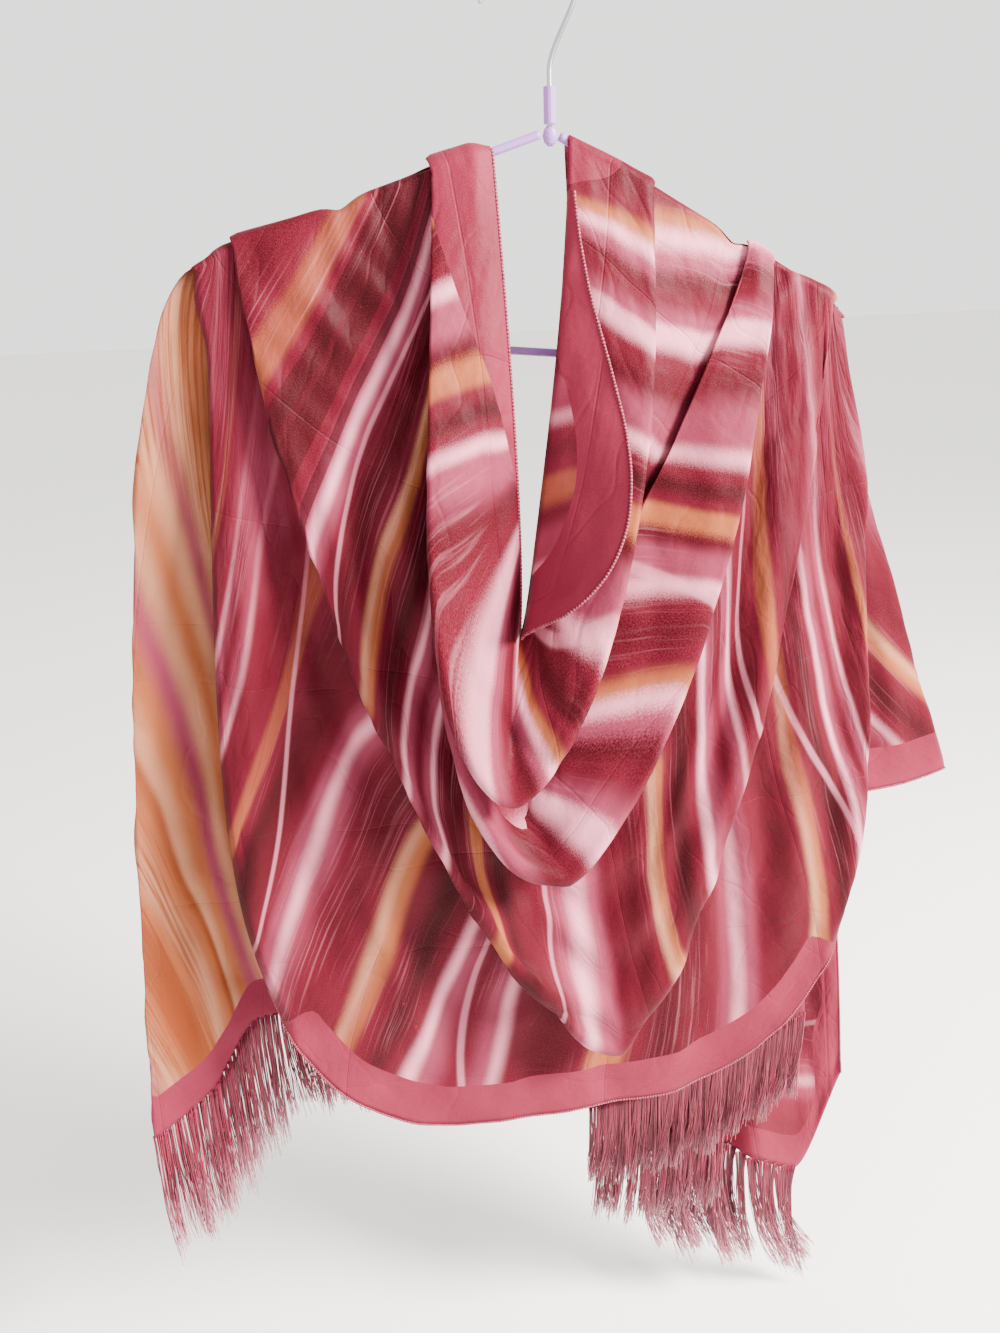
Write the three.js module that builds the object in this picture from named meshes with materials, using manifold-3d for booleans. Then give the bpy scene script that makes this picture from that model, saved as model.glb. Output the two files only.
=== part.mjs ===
// A fringed scarf of thin cloth, wound over a coated wire hanger that hangs a little askew.
// Millimetres, +Z up, +X right, +Y away. The origin is the inner top of the hook.
// The cloth is lofted between hanging rows. Each row is a line that hangs from an arm of the hanger,
// and where the cloth turns back on itself at a row, the loft goes round a small bend.
import * as THREE from "three";
import Module from "manifold-3d";

// ---- driving dimensions ----
const WALL = 1.0; // the cloth's wall
const GAP = 0.3; // between neighbouring solids
const LAYER = 1.5; // from one layer of cloth to the next where they lie on an arm

const HOOK = { inner: 27, wire: 1.5, from: -22, to: 205 }; // radii, and the arc's angles in degrees
const SLEEVE = { inner: 1.8, outer: 3.6, top: -81, bottom: -99.5 };
const NECK = new THREE.Vector3(12, 0, -103); // where the arms meet
const BOSS = { radius: 6 };
const TILT = 5.9; // degrees that the right arm hangs lower
const ARM = { from: 6.6, droop: 23.2, wire: 2.5, straight: 200, bend: 24 };
const NOTCH = { at: 130, depth: 8, half: 9, cloth: 4.5 }; // a strap notch, and how far the cloth dips in it

const ARCH_STEPS = 3; // round the wire, from its top to the hanging side
const BRANCH_STEPS = 12; // from the arm down to a row's low point
const CURTAIN_STEPS = 9;
const ROW_PITCH = 16; // between rows along an arm

const FRINGE = { length: 122, heading: 2.4, thick: 1.2, root: 1.25, tip: 0.8 };

// ---- the front drape: rows from the neckline's edge to the long hem ----
// Left and right: arm is the distance along the arm from the neck, lift the height of the cloth's middle
// over the wire, bow how far the row swells outward, square the power of its curve, back how far it stands
// back midway, and turn whether the cloth turns back there (1 under, -1 over). Low is the row's lowest
// point, and roll the radius of its bend there.
const DRAPE_COLUMNS = ["name", "armL", "liftL", "bowL", "squareL", "backL", "turnL", "lowX", "lowY", "lowZ",
  "roll", "armR", "liftR", "bowR", "squareR", "turnR"];
const DRAPE = table(DRAPE_COLUMNS, [
  ["edge",        37, 0.9,  -2, 3.0,   0, 0, -24, -50, -394, 0,  11, 0.9,  -6, 1.35, 0],
  ["throat",      51, 6.7,  12, 3.4,   0, 0, -34, -70, -448, 0,  50, 3.9,   4, 1.2, 0],
  ["fall",        74, 6.2,  22, 3.6,   0, 1, -37, -88, -492, 5,  69, 3.2,   4, 1.5, 1],
  ["fall_tuck",   57, 4.6,  16, 3.4,  -3, 1, -36, -69, -460, 2,  56, 1.7,   4, 1.5, 1],
  ["second",      61, 3.85, 17, 3.4,  -9, 0, -34, -50, -476, 0, 100, 0.9, -12, 1.3, 0],
  ["strip_tuck",  64, 3.85, 18, 3.4,  -8, 0, -30, -50, -496, 0, 148, 1.7, -26, 1.2, -1],
  ["strip_edge",  67, 3.85, 19, 3.4,  -1, 0, -24, -60, -520, 0, 142, 3.2, -34, 1.2, -1],
  ["strip",       71, 3.1,  21, 3.8,  10, 1,  -3, -78, -556, 7, 160, 3.2,   8, 1.25, 1],
  ["strip_back",  58, 1.6,  14, 3.4,   5, 1,   0, -44, -486, 5, 154, 1.7,   2, 1.3, 1],
  ["shoulder",    96, 0.9,   8, 2.2,   3, 0,  14, -46, -584, 0, 172, 0.9,   2, 1.3, 0],
  ["upper_arm",  146, 1.4,   4, 1.8,   0, 0,  28, -54, -656, 0, 192, 3.4,   2, 1.2, 0],
  ["middle",     196, 3.2,   2, 1.45,  0, 1,  41, -60, -719, 7, 209, 3.4,   5, 1.25, 1],
  ["middle_tuck", 189, 1.7, -10, 1.65,  0, 1,  24, -32, -650, 4, 202, 1.7,   4, 1.4, 1],
  ["column",     204, 0.9,  10, 2.8,   0, 0,  10, -30, -722, 0, 209, 0.9,  20, 2.4, 0],
  ["side",       211, 0.9,  27, 4.2,   0, 0,   2, -34, -766, 0, 214, 0.9,  41, 4.0, 0],
  ["hem",        218, 0.9,  34, 4.4,   0, 0,   0, -36, -793, 0, 220, 0.9,  50, 4.4, 0],
]);

// ---- the ends: rows that hang behind the arms ----
// arm and lift as above; the row ends at endX, endY, endZ. spread is the power of its run outward (under 1
// it goes out at once), and swayY how far its middle stands back.
const CURTAIN_COLUMNS = ["name", "arm", "lift", "spread", "swayY", "endX", "endY", "endZ"];
const BACK_LEFT = table(CURTAIN_COLUMNS, [
  ["inner_edge",  38, 1.0, 1.0, 2, -46, 20, -596],
  ["wave_1",      52, 6.8, 1.0, 6, -68, 40, -640],
  ["wave_2",      73, 6.9, 1.0, 2, -92, 16, -612],
  ["wave_3",      92, 1.5, 1.0, 6, -112, 42, -690],
  ["wave_4",     114, 1.2, 1.0, 2, -136, 16, -655],
  ["wave_5",     138, 1.2, 1.0, 6, -160, 44, -735],
  ["wave_6",     160, 1.6, 0.9, 2, -182, 16, -705],
  ["face",       184, 3.0, 0.6, 0, -222, 20, -710],
  ["face_mid",   198, 3.0, 0.45, 0, -264, 10, -763],
  ["corner",     211, 1.5, 0.42, 0, -308, 0, -790],
  ["long_edge",  215, 3.4, 0.42, 22, -298, 16, -780],
]);
const BACK_RIGHT = table(CURTAIN_COLUMNS, [
  ["left",  132, 0.9, 1.0, 8,  31, -8, -822],
  ["mid",   160, 0.9, 1.0, 8, 118, -11, -806],
  ["right", 205, 0.9, 0.6, 8, 213, -8, -758],
]);
const TIER_MIDDLE = table(CURTAIN_COLUMNS, [
  ["left",  64, 0.9, 1.0, 10,  40, 4, -856],
  ["mid",   92, 0.9, 1.0, 12, 96, 0, -864],
  ["right", 122, 0.9, 1.0, 10, 153, 4, -866],
]);
const RIGHT_END = table(CURTAIN_COLUMNS, [
  ["inner_edge", 11, 2.4, 1.1, 12,  84, 16, -893],
  ["wave_1",     34, 2.6, 1.0, 30,  98, 32, -900],
  ["wave_2",     60, 4.2, 1.0, 18, 112, 11, -903],
  ["wave_3",     88, 2.8, 1.0, 32, 128, 30, -908],
  ["wave_4",    116, 2.6, 1.0, 20, 146, 11, -914],
  ["wave_5",    144, 4.6, 0.9, 32, 166, 28, -920],
  ["wave_6",    170, 3.0, 0.8, 22, 190, 13, -930],
  ["corner",    196, 3.4, 0.6, 26, 226, 13, -946],
  ["long_edge", 208, 4.2, 0.5, 24, 262, 12, -846],
]);
const SIDE_FLARE = table(CURTAIN_COLUMNS, [
  ["front", 213, 1.0, 0.4, 0, 236, 0, -566],
  ["front_mid", 216, 1.0, 0.9, 0, 280, 2, -564],
  ["ridge", 219, 2.1, 1.1, 0, 322, 6, -556],
  ["back",  216, 3.4, 0.9, 2, 284, 12, -562],
  ["rear",  213, 3.4, 0.6, 2, 246, 16, -566],
]);

// The neckline's turned edge: its greatest width, and how far forward of the fall it lies.
const LAPEL = { width: 61, near: 3.0, far: 8.0, across: 6, top: 0.1 };

// ---- tables and small sums ----
function table(columns, rows) {
  return rows.map((row) => Object.fromEntries(row.map((value, i) => [columns[i], value])));
}

const radians = THREE.MathUtils.degToRad;
const mix = (a, b, t) => a + (b - a) * t;

// Where a row turns back, the cloth arrives half a layer above its lift and leaves half a layer below it.
const bendOf = (row, column) => (column.startsWith("lift") ? row[column.replace("lift", "turn")] || 0 : 0);
const arriving = (row, column) => row[column] + (bendOf(row, column) * LAYER) / 2;
const leaving = (row, column) => row[column] - (bendOf(row, column) * LAYER) / 2;

// Adds rows between a table's rows, so that no two stand further apart on an arm than ROW_PITCH.
function closer(rows, reach) {
  const result = [];
  rows.forEach((row, k) => {
    result.push(row);
    const next = rows[k + 1];
    if (!next) return;
    const apart = Math.max(...reach.map((column) => Math.abs(next[column] - row[column])));
    const count = Math.ceil(apart / ROW_PITCH);
    for (let i = 1; i < count; i++) {
      const between = { ...row, name: `${row.name}_${i}` };
      for (const column of Object.keys(row)) {
        if (column === "name") continue;
        if (column.startsWith("turn")) between[column] = 0;
        else between[column] = mix(leaving(row, column), arriving(next, column), i / count);
      }
      result.push(between);
    }
  });
  return result;
}

// ---- the hanger's arms ----
// side is -1 at the left and 1 at the right.
function tilted(x, z) {
  const angle = radians(TILT);
  return new THREE.Vector3(
    NECK.x + x * Math.cos(angle) + z * Math.sin(angle),
    0,
    NECK.z - x * Math.sin(angle) + z * Math.cos(angle),
  );
}

// The middle of an arm's wire at a distance along it: straight with a strap notch, then a bend down.
function armPoint(side, along, depth = NOTCH.depth) {
  const droop = radians(ARM.droop);
  const straight = Math.min(along, ARM.straight);
  const dip = depth * Math.exp(-(((along - NOTCH.at) / NOTCH.half) ** 2));
  let x = straight * Math.cos(droop);
  let z = -straight * Math.sin(droop) - dip;
  const turned = Math.max(0, along - ARM.straight) / ARM.bend;
  x += ARM.bend * (Math.sin(droop + turned) - Math.sin(droop));
  z += ARM.bend * (Math.cos(droop + turned) - Math.cos(droop));
  return tilted(side * x, z);
}

function armNormal(side, along) {
  const before = armPoint(side, along - 0.5, NOTCH.cloth);
  const after = armPoint(side, along + 0.5, NOTCH.cloth);
  const run = after.sub(before).normalize();
  return new THREE.Vector3(-side * run.z, 0, side * run.x).normalize();
}

// A point round the wire, angle 0 on top and 90 degrees at the front (facing -1) or the back (facing 1).
function roundArm(side, along, lift, angle, facing) {
  const radius = ARM.wire + lift;
  const up = armNormal(side, along).multiplyScalar(radius * Math.cos(angle));
  const out = new THREE.Vector3(0, facing * radius * Math.sin(angle), 0);
  return armPoint(side, along, NOTCH.cloth).add(up).add(out);
}

// ---- rows ----
// Even steps along a line of points.
function evenly(points, steps) {
  const lengths = [0];
  for (let i = 1; i < points.length; i++) {
    lengths.push(lengths[i - 1] + points[i].distanceTo(points[i - 1]));
  }
  const result = [];
  let k = 0;
  for (let i = 0; i <= steps; i++) {
    const want = (lengths[lengths.length - 1] * i) / steps;
    while (k < points.length - 2 && lengths[k + 1] < want) k++;
    const t = (want - lengths[k]) / (lengths[k + 1] - lengths[k] || 1);
    result.push(points[k].clone().lerp(points[k + 1], t));
  }
  return result;
}

function arch(side, along, lift, facing, seam) {
  const points = [];
  for (let i = 0; i < ARCH_STEPS; i++) {
    const start = (2 * seam) / (ARM.wire + lift);
    points.push(roundArm(side, along, lift, mix(start, Math.PI / 2, i / ARCH_STEPS), facing));
  }
  return points;
}

// Half of a drape's row, from the top of an arm to the low point.
function branch(row, side) {
  const [along, lift, bow, square, back] = side < 0
    ? [row.armL, row.liftL, row.bowL, row.squareL, row.backL]
    : [row.armR, row.liftR, row.bowR, row.squareR, 0];
  const top = roundArm(side, along, lift, Math.PI / 2, -1);
  const fine = [];
  const FINE = 60;
  for (let i = 0; i <= FINE; i++) {
    const angle = (Math.PI / 2) * (i / FINE);
    const down = Math.sin(angle) ** (2 / square);
    const across = 1 - Math.cos(angle) ** (2 / square);
    const swell = 1.87 * bow * down * (1 - down ** 4);
    const forward = 1 - (1 - down) ** 1.7;
    fine.push(new THREE.Vector3(
      mix(top.x, row.lowX, across) + side * swell,
      mix(top.y, row.lowY, forward) + back * Math.sin(Math.PI * down),
      mix(top.z, row.lowZ, down),
    ));
  }
  return [...arch(side, along, lift, -1, GAP / 2), ...evenly(fine, BRANCH_STEPS)];
}

// A whole row of the drape, from the left arm over the low point to the right arm.
function drapeRow(row) {
  const left = branch(row, -1);
  const right = branch(row, 1).reverse();
  return [...left, ...right.slice(1)];
}

function curtainRow(row, side) {
  const top = roundArm(side, row.arm, row.lift, Math.PI / 2, 1);
  const fine = [];
  const FINE = 40;
  for (let i = 0; i <= FINE; i++) {
    const down = i / FINE;
    fine.push(new THREE.Vector3(
      mix(top.x, row.endX, down ** row.spread),
      mix(top.y, row.endY, down) + row.swayY * Math.sin(Math.PI * down),
      mix(top.z, row.endZ, down),
    ));
  }
  return [...arch(side, row.arm, row.lift, 1, GAP / 2), ...evenly(fine, CURTAIN_STEPS)];
}

// ---- folds ----
// Where a row turns back, it becomes three: above the bend, round it and below it. Where it doesn't turn,
// the three lie side by side on the cloth.
const FLAT_SHARE = 0.15;
function bendAt(rows, k, turnOf, radiusOf) {
  const sets = [[], [], []];
  for (let i = 0; i < rows[k].length; i++) {
    const here = rows[k][i];
    const turn = turnOf(i);
    const radius = radiusOf(i);
    const run = rows[k][Math.min(i + 1, rows[k].length - 1)].clone()
      .sub(rows[k][Math.max(i - 1, 0)]).normalize();
    const tip = here.clone().multiplyScalar(2).sub(rows[k - 1][i]).sub(rows[k + 1][i]);
    tip.addScaledVector(run, -tip.dot(run)).normalize();
    const layer = run.clone().cross(tip).normalize();
    if (layer.y > 0) layer.negate();
    if (Math.abs(layer.y) < 0.5 && layer.z < 0) layer.negate();
    const reach = Math.abs(turn) * radius;
    const flat = FLAT_SHARE * Math.max(0, 1 - reach / (LAYER / 2));
    sets[0].push(here.clone().lerp(rows[k - 1][i], flat).addScaledVector(layer, turn * radius));
    sets[1].push(here.clone().addScaledVector(tip, reach));
    sets[2].push(here.clone().lerp(rows[k + 1][i], flat).addScaledVector(layer, -turn * radius));
  }
  return sets;
}

const DRAPE_HALF = ARCH_STEPS + BRANCH_STEPS;

// One stretch ends and the next begins just past the bend of these rows.
const SEAMS = ["fall_tuck", "strip_back", "middle_tuck"];
const SEAM_SHARE = 0.35;

// All rows of the drape with their bends; starts[name] is the index of a named row's line, or of its seam.
function drapeLines() {
  const table = closer(DRAPE, ["armL", "armR"]);
  const rows = table.map(drapeRow);
  const lines = [];
  const starts = {};
  table.forEach((row, k) => {
    if (!row.turnL && !row.turnR) {
      starts[row.name] = lines.length;
      lines.push(rows[k]);
      return;
    }
    const turnOf = (i) => (i <= DRAPE_HALF ? row.turnL : row.turnR);
    const radiusOf = (i) => {
      const down = 1 - Math.abs(i - DRAPE_HALF) / DRAPE_HALF;
      return mix(LAYER / 2, row.roll, Math.max(0, down - 0.15) / 0.85);
    };
    const [above, round, below] = bendAt(rows, k, turnOf, radiusOf);
    lines.push(above, round, below);
    if (!SEAMS.includes(row.name)) return;
    starts[row.name] = lines.length;
    lines.push(below.map((p, i) => p.clone().lerp(rows[k + 1][i], SEAM_SHARE)));
  });
  return { lines, starts };
}

// ---- solids ----
// Draws the outermost lines or ends of a grid in by half the seam's gap.
function drawIn(grid) {
  const half = GAP / 2;
  const last = grid.length - 1;
  const pulled = (from, to) => from.clone().add(to.clone().sub(from).setLength(half));
  const result = grid.map((line) => line.map((p) => p.clone()));
  for (let i = 0; i < grid[0].length; i++) {
    result[0][i] = pulled(grid[0][i], grid[1][i]);
    result[last][i] = pulled(grid[last][i], grid[last - 1][i]);
  }
  return result;
}

// A closed wall on both sides of a grid of points.
function wall(grid, thickness = WALL) {
  const rows = grid.length;
  const columns = grid[0].length;
  const at = (r, c) => grid[Math.min(Math.max(r, 0), rows - 1)][Math.min(Math.max(c, 0), columns - 1)];
  const points = [];
  for (const sign of [1, -1]) {
    for (let r = 0; r < rows; r++) {
      for (let c = 0; c < columns; c++) {
        const across = at(r + 1, c).clone().sub(at(r - 1, c));
        const along = at(r, c + 1).clone().sub(at(r, c - 1));
        const normal = along.cross(across).normalize();
        points.push(at(r, c).clone().addScaledVector(normal, (sign * thickness) / 2));
      }
    }
  }
  const half = rows * columns;
  const index = [];
  const quad = (a, b, c, d) => index.push(a, b, c, a, c, d);
  for (let r = 0; r < rows - 1; r++) {
    for (let c = 0; c < columns - 1; c++) {
      const a = r * columns + c;
      quad(a, a + 1, a + columns + 1, a + columns);
      quad(half + a, half + a + columns, half + a + columns + 1, half + a + 1);
    }
  }
  const rim = [];
  for (let c = 0; c < columns - 1; c++) rim.push(c);
  for (let r = 0; r < rows - 1; r++) rim.push(r * columns + columns - 1);
  for (let c = columns - 1; c > 0; c--) rim.push((rows - 1) * columns + c);
  for (let r = rows - 1; r > 0; r--) rim.push(r * columns);
  rim.forEach((a, i) => {
    const b = rim[(i + 1) % rim.length];
    quad(b, a, half + a, half + b);
  });
  return solid(points, index);
}

// A geometry with its faces pointing out.
function solid(points, index) {
  let volume = 0;
  for (let i = 0; i < index.length; i += 3) {
    const [a, b, c] = [points[index[i]], points[index[i + 1]], points[index[i + 2]]];
    volume += a.dot(b.clone().cross(c));
  }
  const order = volume < 0 ? [...index].reverse() : index;
  const geometry = new THREE.BufferGeometry();
  geometry.setAttribute("position", new THREE.Float32BufferAttribute(points.flatMap((p) => [p.x, p.y, p.z]), 3));
  geometry.setIndex(order);
  return geometry;
}

function tube(points, radius, sides, steps) {
  const shape = new THREE.Shape();
  for (let i = 0; i < sides; i++) {
    const angle = (2 * Math.PI * i) / sides;
    const [x, y] = [radius * Math.cos(angle), radius * Math.sin(angle)];
    if (i === 0) shape.moveTo(x, y);
    else shape.lineTo(x, y);
  }
  shape.closePath();
  const path = new THREE.CatmullRomCurve3(points, false, "centripetal");
  return new THREE.ExtrudeGeometry(shape, { steps, curveSegments: 1, extrudePath: path });
}

// ---- fringe ----
const wasm = await Module();
wasm.setup();

function toManifold(points, index) {
  const flat = points.flatMap((p) => [p.x, p.y, p.z]);
  const mesh = new wasm.Mesh({
    numProp: 3,
    vertProperties: new Float32Array(flat),
    triVerts: new Uint32Array(index),
  });
  return new wasm.Manifold(mesh);
}

// A closed prism along points: each ring is given by its middle and its corners' offsets.
function prism(rings) {
  const n = rings[0].length;
  const points = rings.flat();
  const index = [];
  for (let r = 0; r < rings.length - 1; r++) {
    for (let k = 0; k < n; k++) {
      const a = r * n + k;
      const b = r * n + ((k + 1) % n);
      index.push(a, b, b + n, a, b + n, a + n);
    }
  }
  const last = (rings.length - 1) * n;
  for (let k = 1; k < n - 1; k++) {
    index.push(0, k + 1, k);
    index.push(last, last + k, last + k + 1);
  }
  let volume = 0;
  for (let i = 0; i < index.length; i += 3) {
    volume += points[index[i]].dot(points[index[i + 1]].clone().cross(points[index[i + 2]]));
  }
  return toManifold(points, volume < 0 ? [...index].reverse() : index);
}

// A heading just below an edge, with strands that hang from it.
function fringe(edge, count, length, lean, below) {
  const under = new THREE.Vector3(0, 0, -below);
  const top = edge.map((p) => p.clone().add(under));
  const half = FRINGE.thick / 2;
  const rings = top.map((p) => [[-half, 0], [half, 0], [half, -FRINGE.heading], [-half, -FRINGE.heading]]
    .map(([y, z]) => new THREE.Vector3(p.x, p.y + y, p.z + z)));
  const parts = [prism(rings)];
  const roots = evenly(top, count + 1).slice(1, -1);
  roots.forEach((root, i) => {
    const swing = 2.4 * Math.sin(0.45 * i);
    const drop = length * (1 + 0.06 * Math.sin(1.7 * i) + 0.04 * Math.sin(4.1 * i));
    const stations = [[0, FRINGE.root], [0.5, FRINGE.root], [1, FRINGE.tip]];
    parts.push(prism(stations.map(([t, radius]) => [0, 1, 2].map((k) => {
      const angle = (2 * Math.PI * k) / 3;
      return new THREE.Vector3(
        root.x + swing * t + lean * t * t + radius * Math.cos(angle),
        root.y + swing * 0.5 * t + radius * 0.7 * Math.sin(angle),
        root.z - 0.8 - drop * t,
      );
    }))));
  });
  const whole = wasm.Manifold.union(parts);
  const mesh = whole.getMesh();
  const geometry = new THREE.BufferGeometry();
  const positions = new Float32Array((mesh.vertProperties.length / mesh.numProp) * 3);
  for (let i = 0; i < positions.length / 3; i++) {
    for (let k = 0; k < 3; k++) positions[3 * i + k] = mesh.vertProperties[mesh.numProp * i + k];
  }
  geometry.setAttribute("position", new THREE.BufferAttribute(positions, 3));
  geometry.setIndex(new THREE.BufferAttribute(new Uint32Array(mesh.triVerts), 1));
  return geometry;
}

// ---- the part ----
const ROSE = new THREE.MeshStandardMaterial({ color: 0xc9667a, roughness: 0.6 });
const PEACH = new THREE.MeshStandardMaterial({ color: 0xd79a72, roughness: 0.6 });
const THREAD = new THREE.MeshStandardMaterial({ color: 0xa54b5f, roughness: 0.5 });
const LAVENDER = new THREE.MeshStandardMaterial({ color: 0xc79fcc, roughness: 0.45 });
const STEEL = new THREE.MeshStandardMaterial({ color: 0xb9babd, roughness: 0.3, metalness: 1 });

const part = new THREE.Group();
function add(name, geometry, material) {
  const mesh = new THREE.Mesh(geometry, material);
  mesh.name = name;
  part.add(mesh);
  return mesh;
}

function hanger() {
  const ring = HOOK.inner + HOOK.wire;
  const hook = [];
  for (let z = SLEEVE.bottom; z < -70; z += 5) hook.push(new THREE.Vector3(NECK.x, 0, z));
  hook.push(new THREE.Vector3(NECK.x + 4, 0, -60));
  for (let angle = HOOK.from; angle <= HOOK.to; angle += 12) {
    const a = radians(angle);
    hook.push(new THREE.Vector3(ring * Math.cos(a), 0, -HOOK.inner + ring * Math.sin(a)));
  }
  add("hook", tube(hook, HOOK.wire, 8, 34), STEEL);

  const { inner, outer, top, bottom } = SLEEVE;
  const profile = [[inner, bottom], [outer, bottom], [outer, top + 1], [outer - 1, top], [inner, top], [inner, bottom]];
  const sleeve = new THREE.LatheGeometry(profile.map(([r, z]) => new THREE.Vector2(r, z)), 14);
  add("neck_sleeve", sleeve.rotateX(Math.PI / 2), LAVENDER).position.x = NECK.x;

  const boss = new THREE.SphereGeometry(BOSS.radius, 10, 8).scale(0.75, 0.6, 1);
  add("neck_boss", boss, LAVENDER).position.set(NECK.x, 0, SLEEVE.bottom - GAP - BOSS.radius);

  const wireEnd = ARM.straight + ARM.bend * radians(180 - ARM.droop);
  for (const [name, side] of [["arm_left", -1], ["arm_right", 1]]) {
    const path = [];
    for (let along = ARM.from; along < wireEnd; along += 5) path.push(armPoint(side, along));
    path.push(armPoint(side, wireEnd));
    add(name, tube(path, ARM.wire, 8, 38), LAVENDER);
  }
  const ends = [-1, 1].map((side) => armPoint(side, wireEnd));
  const inset = ends[1].clone().sub(ends[0]).setLength(GAP);
  add("bar", tube([ends[0].add(inset), ends[1].sub(inset)], ARM.wire, 8, 1), LAVENDER);
}

const { lines, starts } = drapeLines();
const span = (from, to) => drawIn(lines.slice(starts[from], starts[to] + 1));
const LAST = 2 * DRAPE_HALF;

function frontDrape() {
  add("neckline", wall(span("edge", "fall_tuck")), ROSE);
  add("inner_cowl", wall(span("fall_tuck", "strip_back")), ROSE);
  add("middle_cowl", wall(span("strip_back", "middle_tuck")), ROSE);
  add("front_panel", wall(span("middle_tuck", "hem")), ROSE);
}

function lapel() {
  const rows = [];
  const first = Math.round(LAPEL.top * BRANCH_STEPS);
  const edge = lines[starts.edge].slice(DRAPE_HALF, LAST - ARCH_STEPS + 1).reverse();
  const fall = lines[starts.throat].slice(DRAPE_HALF, LAST - ARCH_STEPS + 1).reverse();
  for (let k = 0; k <= LAPEL.across; k++) {
    const line = [];
    for (let i = first; i < edge.length; i++) {
      const down = i / (edge.length - 1);
      const width = 1.5 + LAPEL.width * Math.sin(Math.PI * down ** 1.9) ** 1.2;
      const toward = fall[i].clone().sub(edge[i]);
      toward.z *= 0.2;
      const t = k / LAPEL.across;
      const p = edge[i].clone().addScaledVector(toward.normalize(), width * t);
      p.y -= mix(LAPEL.near, LAPEL.far, Math.sqrt(t));
      line.push(p);
    }
    rows.push(line);
  }
  add("lapel", wall(rows), ROSE);
}

// A stretch that hangs behind an arm. It returns its lower edge between two named rows.
function curtain(name, table, side, material, from, to) {
  const rows = closer(table, ["arm"]);
  const hung = rows.map((row) => curtainRow(row, side));
  add(name, wall(hung), material);
  const place = (rowName) => rows.findIndex((row) => row.name === rowName);
  return hung.slice(place(from), place(to) + 1).map((line) => line[line.length - 1]);
}

hanger();
frontDrape();
lapel();
const leftEdge = curtain("back_left", BACK_LEFT, -1, PEACH, "inner_edge", "corner");
const upperEdge = curtain("back_right", BACK_RIGHT, 1, ROSE, "left", "right");
const middleEdge = curtain("tier_middle", TIER_MIDDLE, 1, ROSE, "left", "right");
const lowerEdge = curtain("right_end", RIGHT_END, 1, ROSE, "inner_edge", "corner");
curtain("side_flare", SIDE_FLARE, 1, ROSE, "front", "rear");
add("fringe_left", fringe(leftEdge, 48, FRINGE.length, 3, 1.7), THREAD);
add("fringe_right_upper", fringe(upperEdge, 32, 84, 0, 0.5), THREAD);
add("fringe_right_middle", fringe(middleEdge, 20, 100, 2, 0.5), THREAD);
add("fringe_right_lower", fringe(lowerEdge, 30, 118, 8, 0.5), THREAD);

export default part;
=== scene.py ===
# A fringed scarf of thin printed cloth, wound in cowls over a coated wire hanger.
# Shapes are worked out in millimetres and made in metres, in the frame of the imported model.
import bpy
import math
import numpy as np
from mathutils import Matrix, Vector


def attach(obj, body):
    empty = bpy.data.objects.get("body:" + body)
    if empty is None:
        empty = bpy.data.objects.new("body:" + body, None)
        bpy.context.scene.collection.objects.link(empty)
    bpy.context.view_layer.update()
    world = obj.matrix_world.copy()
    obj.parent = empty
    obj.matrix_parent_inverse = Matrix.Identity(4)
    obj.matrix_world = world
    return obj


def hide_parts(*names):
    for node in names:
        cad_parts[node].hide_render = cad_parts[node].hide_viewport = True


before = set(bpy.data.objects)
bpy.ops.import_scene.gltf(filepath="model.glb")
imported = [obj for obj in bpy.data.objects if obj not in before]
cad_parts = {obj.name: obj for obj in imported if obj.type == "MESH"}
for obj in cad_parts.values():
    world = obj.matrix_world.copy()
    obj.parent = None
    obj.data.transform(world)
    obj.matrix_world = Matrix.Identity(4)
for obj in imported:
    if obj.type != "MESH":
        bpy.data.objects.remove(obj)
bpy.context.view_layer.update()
MM = 0.001

# ---- driving dimensions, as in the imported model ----
WALL = 0.5  # the cloth, thinner than its solid
GAP = 0.3  # between neighbouring solids
LAYER = 1.5  # from one layer of cloth to the next where they lie on an arm
NECK = np.array([12.0, 0.0, -103.0])
TILT = 5.9  # degrees
ARM = {"from": 6.6, "droop": 23.2, "wire": 2.5, "straight": 200.0, "bend": 24.0}
NOTCH = {"at": 130.0, "depth": 8.0, "half": 9.0, "cloth": 4.5}
HOOK = {"inner": 27.0, "wire": 1.5, "from": -22, "to": 205, "stem_top": -70, "turn": 26.0}
WIRE_STEP = 2.0
SLEEVE_BOTTOM = -99.5
ARCH = 6  # steps round the wire, from its top to the hanging side
BRANCH = 112  # steps from the arm down to a row's low point
HALF = ARCH + BRANCH
CURTAIN_STEPS = 110
PITCH = 5.0  # between the drape's lines
CURTAIN_PITCH = 4.5
BORDER = 35.0  # the printed border's width


def table(columns, rows):
    return [dict(zip(columns, row)) for row in rows]


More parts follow.
